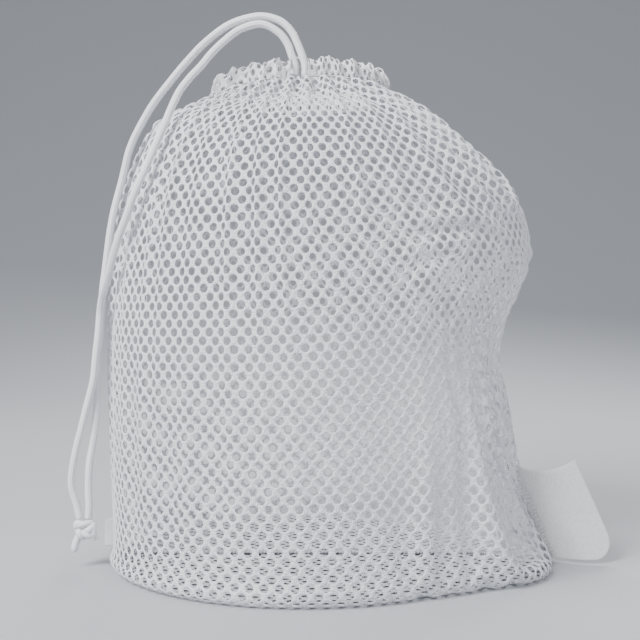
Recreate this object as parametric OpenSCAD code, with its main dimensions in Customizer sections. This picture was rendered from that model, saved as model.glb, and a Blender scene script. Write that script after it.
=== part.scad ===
// Mesh ball bag: a flat pouch of knitted mesh, filled out to its working shape and gathered
// at the mouth by a drawcord that runs in a sewn channel. Millimetres, +Z up, +X to the label.
// The origin is on the floor, in the middle of the bottom seam.

/* [Bag] */
// Width of the filled bag at its widest
bag_w = 253; // [220:1:300]
// Depth of the filled bag at its widest
bag_d = 224; // [200:1:260]
// Height of the crest of the gathered mouth
bag_h = 297; // [270:1:330]
// Wall that stands for one layer of mesh
mesh_t = 2; // [1.5:0.1:2.5]
// Width of the sewn seams between the panels
seam_w = 3; // [2:0.5:4]
// Depth of the seam allowance behind the side seams
seam_depth = 4; // [3:0.5:6]

/* [Mouth] */
// Half width of the gathered mouth
mouth_rx = 52; // [44:1:54]
// Half depth of the gathered mouth
mouth_ry = 42; // [36:1:46]
// Height of the drawcord channel
channel_h = 18; // [14:1:20]
// Width of the channel from its outer to its inner wall
channel_w = 7.4; // [6.8:0.1:8]
// Wall of the channel
channel_t = 0.8; // [0.6:0.1:1]
// Gap in the channel where the cord comes out
exit_gap = 14; // [13:0.5:16]

/* [Drawcord] */
// Diameter of the drawcord
cord_d = 4.5; // [4:0.1:5]
// Length of the short end below the knot
stub_len = 10; // [6:1:14]

/* [Label and tag] */
// Radius of the label's rounded lower corner
label_corner = 16; // [8:1:24]
// Thickness of the label
label_t = 0.8; // [0.6:0.1:1.2]
// Reach of the small side tag
tag_w = 8; // [6:0.5:10]
// Height of the side tag
tag_h = 17; // [12:0.5:20]

/* [Hidden] */

mesh_white = [0.93, 0.94, 0.96];
thread_white = [0.98, 0.98, 0.98];
cord_white = [0.96, 0.96, 0.99];
label_white = [0.9, 0.9, 0.9];

// The stations below are drawn for a bag of this size, and scale with the bag
drawn = [253, 224, 297];
kx = bag_w / drawn[0];
ky = bag_d / drawn[1];
kz = bag_h / drawn[2];

// Centre of the gathered mouth, and how far its rim falls away from its crest
mouth_cx = -4;
mouth_crest = 17;
mouth_drop = 6;
mouth_gap = 0.4;
channel_z = bag_h - channel_h;

// Filled shape: height, then reach to the left, right, front and back, then how much of the
// mouth's fall this ring takes
FLOOR_RIM = [0, 110, 112, 106, 106, 0];
WALL = [FLOOR_RIM,
        [6, 115, 118, 111, 110, 0],
        [20, 115, 122, 112, 112, 0],
        [60, 113.5, 124, 112, 112, 0],
        [95, 114, 122, 112, 112, 0],
        [125, 118.5, 115.5, 111, 112, 0],
        [150, 117.5, 122, 109, 111, 0],
        [175, 115, 134, 106, 109, 0],
        [192, 113, 137, 103, 107, 0],
        [212, 110, 132.5, 99, 103, 0],
        [228, 106, 119, 94, 98, 0],
        [244, 101, 102, 87, 91, 0.1],
        [259, 95.5, 84.5, 77, 80, 0.25],
        [270, 89, 70, 64, 66, 0.5]];
FLOOR_RINGS = [0.1, 0.3, 0.55, 0.8];
rings_per_station = 2;
angle_steps = 26;

// The free cord: from the channel, up in an arch, over the left shoulder and down to the knot
OUTER_UPPER = [[0, -38.5, 287], [0, -38.5, 293], [-2, -38.5, 299.5], [-4.5, -38, 306],
               [-8, -37.5, 313], [-14.5, -37, 319], [-25, -36, 322], [-36, -35, 320.5],
               [-45, -34.5, 317], [-52.5, -34, 312], [-60.5, -33, 305.5], [-67, -32, 299],
               [-73.5, -31, 292], [-79.5, -30, 285], [-85, -29, 278.5], [-90, -28, 272],
               [-94.5, -27, 265], [-98.5, -26.5, 258], [-102, -26, 251], [-104.5, -26, 244],
               [-106.5, -25.5, 236], [-108.5, -25, 228], [-111, -25, 219], [-113.5, -25, 209],
               [-115.5, -25, 198], [-117, -25, 187], [-118.5, -25, 175], [-120, -25, 163],
               [-120.5, -25, 153.5]];
OUTER_LOWER = [[-120.5, -25, 150], [-121.5, -25, 138], [-123, -25, 125], [-124, -25, 111],
               [-123.5, -25.5, 97], [-124.5, -26, 83], [-126, -27, 72], [-127.5, -28, 61],
               [-128, -28.5, 48], [-127.5, -29, 37], [-128, -29, 29]];
INNER_UPPER = [[-6, -38.5, 287], [-6, -38.5, 293], [-8, -38.5, 299.5], [-10.5, -38.5, 306],
               [-15.5, -39, 312], [-25, -39.5, 316.5], [-37, -40, 313.5], [-47, -40.5, 306],
               [-54, -41, 299], [-59.5, -42, 292], [-65.5, -44, 285], [-71, -46.5, 277],
               [-74.5, -50, 268.5], [-77.5, -53.5, 259.5], [-81, -56.5, 250], [-84.5, -58.5, 241],
               [-88, -60, 232], [-91.5, -60.5, 224], [-95.5, -60, 215], [-99, -58.5, 205.5],
               [-103.5, -55.5, 195.5], [-107.5, -52, 185.5], [-111, -47.5, 175.5],
               [-115, -41, 166], [-118.5, -34.5, 158.5], [-120, -31, 153.5]];
INNER_LOWER = [[-120.5, -30.5, 150], [-121.5, -30.5, 138], [-123, -30.5, 125],
               [-124.5, -30.5, 111], [-128, -30.5, 97], [-131.5, -30.5, 83], [-135, -30.5, 69],
               [-137.5, -30, 55], [-137.5, -29.5, 47], [-135, -29, 38], [-133, -29, 29]];
cord_sides = 10;

// The knot below the lower cords, and the two cord ends that leave it
KNOT = [-130.5, -29, 22.5];
knot_r = 5;
STUB_START = [-133.5, -29, 19];
STUB_DIRECTION = [-0.3, -0.05, -1];
FRAY_START = [-124.5, -30.5, 26];
FRAY_DIRECTION = [0.1, -0.1, -1];
fray_len = 9;

// The right bottom corner stands up as a thin fin, from the tip on the floor up the side seam
FIN_FOOT = [147, -16, 0];
FIN_TOP = [121.5, -8, 60];
FIN_ROOT = [116, -11, 0];
// The same corner spreads over the floor in front of the fin: place and share of its height
FOLD = [[103, -62, 1], [122, -20, 1], [117, -63, 0.8], [132, -59, 0.6], [148, -19, 0.5]];
FOLD_LEFT = [[-113.5, 22, 0.8], [-117, 6, 0.8], [-121, 8, 0.5], [-119, 20, 0.5]];
fold_h = 7;

// Corners of the side label before it curls: at the seam and at its free edge
LABEL_FOOT = [146, -10.5, 1.5];
LABEL_TOP = [125.5, -3.5, 60];
LABEL_FREE_FOOT = [188, -15, 3];
LABEL_FREE_TOP = [163, -9, 61.5];
label_bulge = 8;
label_dip = 6;

// The side tag
tag_x = -116.4;
tag_z = 6;
tag_t = 1.2;
stitch_t = 0.5;

// ---- Curves and surfaces ------------------------------------------------------------------

// Catmull-Rom value between b and c
function blend4(a, b, c, d, t) =
    0.5 * (2 * b + (c - a) * t + (2 * a - 5 * b + 4 * c - d) * t * t
           + (3 * b - a - 3 * c + d) * t * t * t);

// A smooth list of values through the given ones, n to each span
function smooth(pts, n) =
    let (last = len(pts) - 1)
    [for (i = [0:last - 1]) for (k = [0:n - 1])
        blend4(pts[max(i - 1, 0)], pts[i], pts[i + 1], pts[min(i + 2, last)], k / n),
     pts[last]];

// Fall of the mouth's rim at x, none at the crest
function rim_fall(x) =
    let (inside = max(-60, min(x, 52)))
    -mouth_drop * pow((inside - mouth_crest) / 72, 2);

function scaled_ring(s) = [s[0] * kz, s[1] * kx, s[2] * kx, s[3] * ky, s[4] * ky, s[5]];

mouth_ring = [channel_z - mouth_gap, mouth_rx - mouth_cx, mouth_rx + mouth_cx,
              mouth_ry, mouth_ry, 1];
floor_list = [for (f = FLOOR_RINGS) [0, f * FLOOR_RIM[1], f * FLOOR_RIM[2],
                                     f * FLOOR_RIM[3], f * FLOOR_RIM[4], 0]];
wall_list = smooth(concat([for (s = WALL) scaled_ring(s)], [mouth_ring]), rings_per_station);
outer_rings = concat([for (s = floor_list) scaled_ring(s)], wall_list);

function ring_reach(s) = (s[1] + s[2] + s[3] + s[4]) / 4;

// The ring moved in by t, square to the surface
function inner_ring(i, t) =
    let (n = len(outer_rings) - 1,
         low = outer_rings[max(i - 1, 0)],
         high = outer_rings[min(i + 1, n)],
         dr = ring_reach(high) - ring_reach(low),
         dz = high[0] - low[0],
         run = sqrt(dr * dr + dz * dz),
         out = t * dz / run,
         up = -t * dr / run,
         s = outer_rings[i])
    [s[0] - up, s[1] - out, s[2] - out, s[3] - out, s[4] - out, s[5]];

inner_rings = [for (i = [0:len(outer_rings) - 1]) inner_ring(i, mesh_t)];

// Point of ring s at angle a, with the half seam left free between the two panels
function ring_point(s, a, side) =
    let (half = seam_w / 2,
         x = cos(a) * (cos(a) < 0 ? s[1] : s[2]),
         reach = (side < 0 ? s[3] : s[4]) - half)
    [x, side * (half + abs(sin(a)) * reach), s[0] + s[5] * rim_fall(x)];

// Faces of a closed wall between an outer and an inner grid of points
function wall_faces(rows, cols) =
    let (n = rows * cols)
    concat(
        [for (i = [0:rows - 2]) for (j = [0:cols - 2]) for (k = [0:1])
            let (p = i * cols + j)
            k == 0 ? [p, p + cols, p + cols + 1] : [p, p + cols + 1, p + 1]],
        [for (i = [0:rows - 2]) for (j = [0:cols - 2]) for (k = [0:1])
            let (p = n + i * cols + j)
            k == 0 ? [p, p + cols + 1, p + cols] : [p, p + 1, p + cols + 1]],
        [for (i = [0:rows - 2]) for (k = [0:1])
            let (p = i * cols)
            k == 0 ? [p, n + p, n + p + cols] : [p, n + p + cols, p + cols]],
        [for (i = [0:rows - 2]) for (k = [0:1])
            let (p = i * cols + cols - 1)
            k == 0 ? [p, p + cols, n + p + cols] : [p, n + p + cols, n + p]],
        [for (j = [0:cols - 2]) for (k = [0:1])
            let (p = (rows - 1) * cols + j)
            k == 0 ? [p, n + p, n + p + 1] : [p, n + p + 1, p + 1]]);

// A tube along a list of points
function along(path, i) =
    let (a = path[max(i - 1, 0)], b = path[min(i + 1, len(path) - 1)])
    (b - a) / norm(b - a);

module tube(path, d, sides) {
    n = len(path);
    rings = [for (i = [0:n - 1])
        let (t = along(path, i),
             u0 = cross(t, [0, 1, 0.05]),
             u = u0 / norm(u0),
             v = cross(t, u))
        for (j = [0:sides - 1])
            path[i] + d / 2 * (cos(360 * j / sides) * u + sin(360 * j / sides) * v)];
    sleeve = [for (i = [0:n - 2]) for (j = [0:sides - 1]) for (k = [0:1])
        let (a = i * sides + j, b = i * sides + (j + 1) % sides)
        k == 0 ? [a, a + sides, b + sides] : [a, b + sides, b]];
    ends = [[for (j = [0:sides - 1]) j],
            [for (j = [0:sides - 1]) (n - 1) * sides + sides - 1 - j]];
    polyhedron(rings, concat(sleeve, ends), convexity = 8);
}

function placed(path) = [for (p = path) [p[0] * kx, p[1] * ky, p[2] * kz]];

// ---- Mesh body ----------------------------------------------------------------------------

// One half of the filled pouch, from the bottom seam over the floor and up to the mouth
module panel(side) {
    first = side < 0 ? 180 : 0;
    rows = len(outer_rings);
    cols = angle_steps + 1;
    points = concat(
        [for (s = outer_rings) for (j = [0:angle_steps])
            ring_point(s, first + 180 * j / angle_steps, side)],
        [for (s = inner_rings) for (j = [0:angle_steps])
            ring_point(s, first + 180 * j / angle_steps, side)]);
    n = rows * cols;
    last = cols - 1;
    // The first ring is closed over by a flat cap on each face and a strip along the seam
    hub = [[for (j = [0:last]) j], [for (j = [last:-1:0]) n + j],
           [0, last, n + last], [0, n + last, n]];
    polyhedron(points, concat(wall_faces(rows, cols), hub), convexity = 6);
}

module front_panel() {
    color(mesh_white) panel(-1);
}

module back_panel() {
    color(mesh_white) panel(1);
}

// Outline of the side of the bag in the seam plane
function side_line(rings, dir) =
    [for (s = rings) let (x = dir < 0 ? -s[1] : s[2]) [x, s[0] + s[5] * rim_fall(x)]];

// Strip of doubled mesh and overlock thread between the panels
module side_seam(dir) {
    outer = side_line(wall_list, dir);
    count = len(outer);
    inner = [for (i = [count - 1:-1:0])
        let (s = inner_ring(i + len(FLOOR_RINGS), seam_depth),
             x = dir < 0 ? -s[1] : s[2])
        [x, max(s[0] + s[5] * rim_fall(x), i == 0 ? seam_depth : 0)]];
    rotate([90, 0, 0])
        linear_extrude(seam_w, center = true)
            polygon(concat(outer, inner));
}

module side_seam_left() {
    color(thread_white) side_seam(-1);
}

module side_seam_right() {
    color(thread_white) side_seam(1);
}

// The seam that closes the pouch, flat on the floor
module bottom_seam() {
    left = -FLOOR_RIM[1] * kx + 0.5;
    right = FLOOR_RIM[2] * kx - 0.5;
    color(thread_white)
        translate([left, -seam_w / 2, 0])
            cube([right - left, seam_w, seam_depth - 1]);
}

// A corner of the pouch that lies folded on the floor beside the filled body
module corner_fold(outline, height) {
    hull()
        for (p = outline)
            translate([p[0] * kx, p[1] * ky, 0])
                cylinder(h = height * p[2], r = 2, $fn = 16);
}

// The same corner's two layers, standing up along the side seam
module corner_fin() {
    hull() {
        translate([FIN_ROOT[0] * kx, FIN_ROOT[1] * ky, 0]) cylinder(h = 2, r = 4, $fn = 16);
        translate([FIN_FOOT[0] * kx, FIN_FOOT[1] * ky, 0]) cylinder(h = 3, r = 2.5, $fn = 16);
        translate([FIN_TOP[0] * kx, FIN_TOP[1] * ky, FIN_TOP[2] * kz])
            cylinder(h = 2, r = 1.5, $fn = 16);
    }
}

module corner_fold_right() {
    color(mesh_white) {
        corner_fold(FOLD, fold_h);
        corner_fin();
    }
}

module corner_fold_left() {
    color(mesh_white) corner_fold(FOLD_LEFT, fold_h - 2);
}

// ---- Mouth --------------------------------------------------------------------------------

// Section of the channel from its bottom outer edge round over the top: in from the outer
// face, and up from the bottom edge
function channel_section() =
    let (w = channel_w, h = channel_h, t = channel_t)
    [[w * 0.30, 0], [0, h * 0.3], [0, h * 0.72], [w * 0.22, h * 0.95], [w * 0.5, h],
     [w * 0.78, h * 0.95], [w, h * 0.72], [w, h * 0.3], [w * 0.70, 0],
     [w * 0.62, t], [w - t, h * 0.33], [w - t, h * 0.70], [w * 0.70, h * 0.95 - t],
     [w * 0.5, h - t], [w * 0.30, h * 0.95 - t], [t, h * 0.70], [t, h * 0.33], [w * 0.38, t]];

// Point on the mouth ring at angle a, moved in by u and up by v
function mouth_point(a, u, v) =
    let (x = mouth_cx + (mouth_rx - u) * cos(a))
    [x, (mouth_ry - u) * sin(a), channel_z + v + rim_fall(x)];

module channel(a0, a1, steps) {
    section = channel_section();
    m = len(section);
    points = [for (i = [0:steps]) for (s = section)
        mouth_point(a0 + (a1 - a0) * i / steps, s[0], s[1])];
    skin = [for (i = [0:steps - 1]) for (j = [0:m - 1]) for (k = [0:1])
        let (a = i * m + j, b = i * m + (j + 1) % m)
        k == 0 ? [a, b, b + m] : [a, b + m, a + m]];
    ends = [[for (j = [0:m - 1]) m - 1 - j], [for (j = [0:m - 1]) steps * m + j]];
    polyhedron(points, concat(skin, ends), convexity = 6);
}

exit_x = -3;
exit_angle = 270 + asin((exit_x - mouth_cx) / mouth_rx);
gap_angle = asin(exit_gap / 2 / mouth_rx);

module channel_front() {
    color(mesh_white) {
        channel(180, exit_angle - gap_angle, 12);
        channel(exit_angle + gap_angle, 360, 12);
    }
}

module channel_back() {
    color(mesh_white) channel(0, 180, 24);
}

// Row of stitches that closes the channel, on its outer face
module stitch_band(a0, a1, steps) {
    low = channel_h * 0.34;
    high = low + 1;
    section = [[-stitch_t, low], [-stitch_t, high], [0, high], [0, low]];
    m = len(section);
    points = [for (i = [0:steps]) for (s = section)
        mouth_point(a0 + (a1 - a0) * i / steps, s[0], s[1])];
    skin = [for (i = [0:steps - 1]) for (j = [0:m - 1]) for (k = [0:1])
        let (a = i * m + j, b = i * m + (j + 1) % m)
        k == 0 ? [a, b, b + m] : [a, b + m, a + m]];
    ends = [[3, 2, 1, 0], [for (j = [0:m - 1]) steps * m + j]];
    polyhedron(points, concat(skin, ends), convexity = 6);
}

module channel_stitching() {
    color(thread_white) {
        stitch_band(0, 180, 24);
        stitch_band(180, exit_angle - gap_angle - 3, 12);
        stitch_band(exit_angle + gap_angle + 3, 360, 12);
    }
}

// Thread bars that stop the channel tearing on each side of the cord exit
module exit_bartacks() {
    bar_w = 1.6;
    color(thread_white)
        for (dir = [-1, 1]) {
            foot = mouth_point(exit_angle + dir * (gap_angle + 1.6), 0, channel_h * 0.35);
            translate([foot[0] - bar_w / 2, foot[1] - stitch_t, foot[2]])
                cube([bar_w, stitch_t * 2, channel_h * 0.36]);
        }
}

// The cord inside the channel, round the back of the mouth from one side of the gap
module drawcord_loop() {
    steps = 26;
    start = exit_angle + gap_angle;
    sweep = 360 - 2 * gap_angle;
    path = [for (i = [0:steps])
        mouth_point(start + sweep * i / steps, channel_w / 2, channel_h * 0.55)];
    color(cord_white) tube(path, cord_d, cord_sides);
}

// ---- Free cord ----------------------------------------------------------------------------

module cord_outer_upper() {
    color(cord_white) tube(placed(OUTER_UPPER), cord_d, cord_sides);
}

module cord_inner_upper() {
    color(cord_white) tube(placed(INNER_UPPER), cord_d, cord_sides);
}

module cord_outer_lower() {
    color(cord_white) tube(placed(OUTER_LOWER), cord_d, cord_sides);
}

module cord_inner_lower() {
    color(cord_white) tube(placed(INNER_LOWER), cord_d, cord_sides);
}

// Overhand knot that ties the two cords together
module drawcord_knot() {
    color(cord_white)
        translate([KNOT[0] * kx, KNOT[1] * ky, KNOT[2] * kz])
            hull()
                for (p = [[-2.4, 0, 2], [2.4, 0, 2], [0, 0, -2.4]])
                    translate(p) sphere(knot_r, $fn = 24);
}

module cord_end(start, direction, length, d) {
    unit = direction / norm(direction);
    first = [start[0] * kx, start[1] * ky, start[2] * kz];
    tube([first, first + unit * length / 2, first + unit * length], d, cord_sides);
}

module cord_stub() {
    color(cord_white) cord_end(STUB_START, STUB_DIRECTION, stub_len, cord_d);
}

module cord_frayed_end() {
    color(cord_white) cord_end(FRAY_START, FRAY_DIRECTION, fray_len, cord_d * 0.8);
}

// ---- Label and tag ------------------------------------------------------------------------

function mix3(a, b, t) = a * (1 - t) + b * t;

// Point of the curled label, u from the seam outward and v upward, both from 0 to 1
function label_point(u, v, offset) =
    mix3(mix3(LABEL_FOOT, LABEL_TOP, v), mix3(LABEL_FREE_FOOT, LABEL_FREE_TOP, v), u)
    + [0, offset - label_bulge * sin(150 * u), -label_dip * v * sin(180 * pow(u, 0.8))];

// How far a row of the label reaches, less than 1 at the rounded lower corner
function row_reach(v) =
    let (r = label_corner,
         up = v * LABEL_TOP[2],
         wide = LABEL_FREE_FOOT[0] - LABEL_FOOT[0])
    up >= r ? 1 : 1 - (r / wide) * (1 - sqrt(1 - pow((r - up) / r, 2)));

module side_label() {
    rows = 13;
    cols = 13;
    // Rows crowd together towards the lower edge, so that the corner is round
    heights = [for (i = [0:rows - 1]) pow(i / (rows - 1), 1.5)];
    points = [for (face = [-1, 1]) for (v = heights) for (j = [0:cols - 1])
        label_point(j / (cols - 1) * row_reach(v), v, face * label_t / 2)];
    n = rows * cols;
    foot = [for (j = [0:cols - 2]) for (k = [0:1])
        k == 0 ? [j, j + 1, n + j + 1] : [j, n + j + 1, n + j]];
    color(label_white) polyhedron(points, concat(wall_faces(rows, cols), foot), convexity = 6);
}

// A column of thread bars, along a line from one place to another
module stitch_column(from, to, count) {
    bar = [1, 2.4, 2];
    color(thread_white)
        for (i = [0:count - 1])
            translate(mix3(from, to, i / (count - 1)) - bar / 2)
                cube(bar);
}

// Stitches that hold the label, along the outer edge of the fin
module label_stitching() {
    along_edge = FIN_TOP - FIN_FOOT;
    edge = FIN_FOOT + [2.2, 0, 3];
    stitch_column(edge + along_edge * 0.06, edge + along_edge * 0.92, 13);
}

// Stitches that hold the side tag in the left side seam
module tag_stitching() {
    reach = [for (s = wall_list) [s[0], -s[1]]];
    low = tag_z + 2;
    high = tag_z + tag_h - 2;
    stitch_column([lookup(low, reach), 0, low], [lookup(high, reach), 0, high], 4);
}

module side_tag() {
    round = 3;
    color(label_white)
        translate([tag_x, 0, tag_z])
            rotate([90, 0, 0])
                linear_extrude(tag_t, center = true)
                    union() {
                        translate([-tag_w, 0]) square([tag_w, tag_h - round]);
                        translate([-tag_w + round, 0]) square([tag_w - round, tag_h]);
                        translate([-tag_w + round, tag_h - round]) circle(round, $fn = 32);
                    }
}

front_panel();
back_panel();
side_seam_left();
side_seam_right();
bottom_seam();
corner_fold_right();
corner_fold_left();
label_stitching();
tag_stitching();
channel_front();
channel_back();
channel_stitching();
exit_bartacks();
drawcord_loop();
cord_outer_upper();
cord_inner_upper();
cord_outer_lower();
cord_inner_lower();
drawcord_knot();
cord_stub();
cord_frayed_end();
side_label();
side_tag();
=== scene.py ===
"""Looks of the mesh ball bag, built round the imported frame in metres.

The cloth pouch is draped by a small deterministic cloth solver over the filled shape that the
frame's panels give, then perforated cell by cell along the draped surface. The gathered
channel, the seams, the free cord with its knot, the label and the tag are pieces of their own.
"""

import logging  # noqa: E402
import math  # noqa: E402
from dataclasses import dataclass, field  # noqa: E402
from enum import Enum  # noqa: E402

import bpy  # noqa: E402
import numpy as np  # noqa: E402
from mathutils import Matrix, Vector  # noqa: E402
from mathutils.bvhtree import BVHTree  # noqa: E402


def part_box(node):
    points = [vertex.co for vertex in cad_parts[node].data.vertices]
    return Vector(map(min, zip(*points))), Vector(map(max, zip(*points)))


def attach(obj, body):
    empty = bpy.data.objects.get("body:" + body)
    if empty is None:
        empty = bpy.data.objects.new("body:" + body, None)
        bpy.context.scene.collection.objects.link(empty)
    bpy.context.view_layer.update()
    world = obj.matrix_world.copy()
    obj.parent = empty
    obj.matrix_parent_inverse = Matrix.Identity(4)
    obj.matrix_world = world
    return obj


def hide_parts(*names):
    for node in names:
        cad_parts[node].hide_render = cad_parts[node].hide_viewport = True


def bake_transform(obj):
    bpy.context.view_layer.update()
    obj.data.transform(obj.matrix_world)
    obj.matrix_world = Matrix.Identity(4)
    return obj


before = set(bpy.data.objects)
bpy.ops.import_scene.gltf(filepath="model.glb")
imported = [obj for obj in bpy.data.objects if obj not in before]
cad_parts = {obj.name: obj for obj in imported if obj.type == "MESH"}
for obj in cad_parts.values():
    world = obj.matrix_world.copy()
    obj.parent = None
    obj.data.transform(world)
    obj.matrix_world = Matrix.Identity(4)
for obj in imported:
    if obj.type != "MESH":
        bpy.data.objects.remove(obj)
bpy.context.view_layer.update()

LOG = logging.getLogger("ball_bag")
TAU = 2 * math.pi
Array = np.ndarray


class Body(Enum):
    """Bodies of the frame that pieces ride on."""

    BAG = "bag"
    NECK = "neck"
    CORD_TAIL = "cord_tail"
    LABEL = "label"
    TAG = "tag"


class Side(Enum):
    """The two halves of the pouch, by the direction of Y that they face."""

    FRONT = -1
    BACK = 1


class Slot(Enum):
    """Names of material slots."""

    MESH = "mesh"
    THREAD = "thread"
    CORD = "cord"
    LABEL = "label"


# ---- Small helpers ------------------------------------------------------------------------


def smoothstep(low: float, high: float, value: Array) -> Array:
    """Smooth rise from 0 at low to 1 at high.

    Args:
        low: Where the rise starts.
        high: Where it ends.
        value: Where to read it.

    Returns:
        The rise at each value.
    """
    t = np.clip((np.asarray(value, float) - low) / (high - low), 0.0, 1.0)
    return t * t * (3 - 2 * t)


def link(obj: bpy.types.Object) -> bpy.types.Object:
    """Puts an object in the scene and returns it."""
    bpy.context.scene.collection.objects.link(obj)
    return obj


def mesh_object(name: str, points: Array, faces: list, smooth: bool = True) -> bpy.types.Object:
    """Makes a mesh object from points and faces.

    Args:
        name: Name of the piece.
        points: Its points, in metres.
        faces: Its faces, as lists of point numbers.
        smooth: Whether its faces are shaded smooth.

    Returns:
        The new object.
    """
    mesh = bpy.data.meshes.new(name)
    mesh.from_pydata([tuple(p) for p in np.asarray(points, float)], [], faces)
    mesh.polygons.foreach_set("use_smooth", [smooth] * len(mesh.polygons))
    mesh.update()
    return link(bpy.data.objects.new(name, mesh))


def grid_faces(rows: int, cols: int, wrap: bool = False) -> list:
    """Quads of a grid of points stored row by row.

    Args:
        rows: Number of rows.
        cols: Points in a row.
        wrap: Whether the last column meets the first.

    Returns:
        The faces.
    """
    steps = cols if wrap else cols - 1
    return [(r * cols + c, r * cols + (c + 1) % cols, (r + 1) * cols + (c + 1) % cols,
             (r + 1) * cols + c)
            for r in range(rows - 1) for c in range(steps)]


def spline(points: list, per_span: int) -> Array:
    """Catmull-Rom curve through points.

    Args:
        points: The points.
        per_span: Steps between two points.

    Returns:
        Points along the curve.
    """
    p = np.asarray(points, float)
    p = np.vstack([2 * p[0] - p[1], p, 2 * p[-1] - p[-2]])
    out = []
    for i in range(1, len(p) - 2):
        a, b, c, d = p[i - 1:i + 3]
        for k in range(per_span):
            t = k / per_span
            out.append(0.5 * (2 * b + (c - a) * t + (2 * a - 5 * b + 4 * c - d) * t**2
                              + (3 * b - a - 3 * c + d) * t**3))
    return np.array(out + [p[-2]])


def path_length(path: Array) -> float:
    """Length of a line of points."""
    return float(np.linalg.norm(np.diff(path, axis=0), axis=1).sum())


def resample(path: Array, count: int) -> Array:
    """Points evenly spaced along a line.

    Args:
        path: The line's points.
        count: Number of points wanted.

    Returns:
        The new points.
    """
    steps = np.concatenate([[0.0], np.cumsum(np.linalg.norm(np.diff(path, axis=0), axis=1))])
    wanted = np.linspace(0, steps[-1], count)
    return np.stack([np.interp(wanted, steps, path[:, k]) for k in range(path.shape[1])], axis=1)


def tube(name: str, path: Array, radii: Array, sides: int) -> bpy.types.Object:
    """A closed tube along a path, with a UV map that runs round and along it.

    Args:
        name: Name of the piece.
        path: Centre line.
        radii: Radius at each point of the path.
        sides: Points round the tube.

    Returns:
        The new object.
    """
    tangent = np.gradient(path, axis=0)
    tangent /= np.linalg.norm(tangent, axis=1)[:, None]
    normal = np.cross(tangent[0], [0.0, 1.0, 0.07])
    turn = np.arange(sides) / sides * TAU
    rings, travelled = [], np.concatenate(
        [[0.0], np.cumsum(np.linalg.norm(np.diff(path, axis=0), axis=1))])
    for centre, along, radius in zip(path, tangent, radii):
        normal = normal - along * normal.dot(along)
        normal /= np.linalg.norm(normal)
        other = np.cross(along, normal)
        rings.append(centre + radius * (np.cos(turn)[:, None] * normal
                                        + np.sin(turn)[:, None] * other))
    n = len(path)
    points = np.concatenate(rings + [path[:1], path[-1:]])
    faces = grid_faces(n, sides, wrap=True)
    faces += [((c + 1) % sides, c, n * sides) for c in range(sides)]
    last = (n - 1) * sides
    faces += [(last + c, last + (c + 1) % sides, n * sides + 1) for c in range(sides)]
    obj = mesh_object(name, points, faces)
    around = []
    for r in range(n - 1):
        for c in range(sides):
            low, high = travelled[r], travelled[r + 1]
            around += [(c / sides, low), ((c + 1) / sides, low),
                       ((c + 1) / sides, high), (c / sides, high)]
    around += [(0.0, 0.0)] * (6 * sides)
    layer = obj.data.uv_layers.new(name="cord_uv")
    layer.data.foreach_set("uv", np.array(around, np.float32).ravel())
    return obj


# ---- The filled shape ---------------------------------------------------------------------


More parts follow.
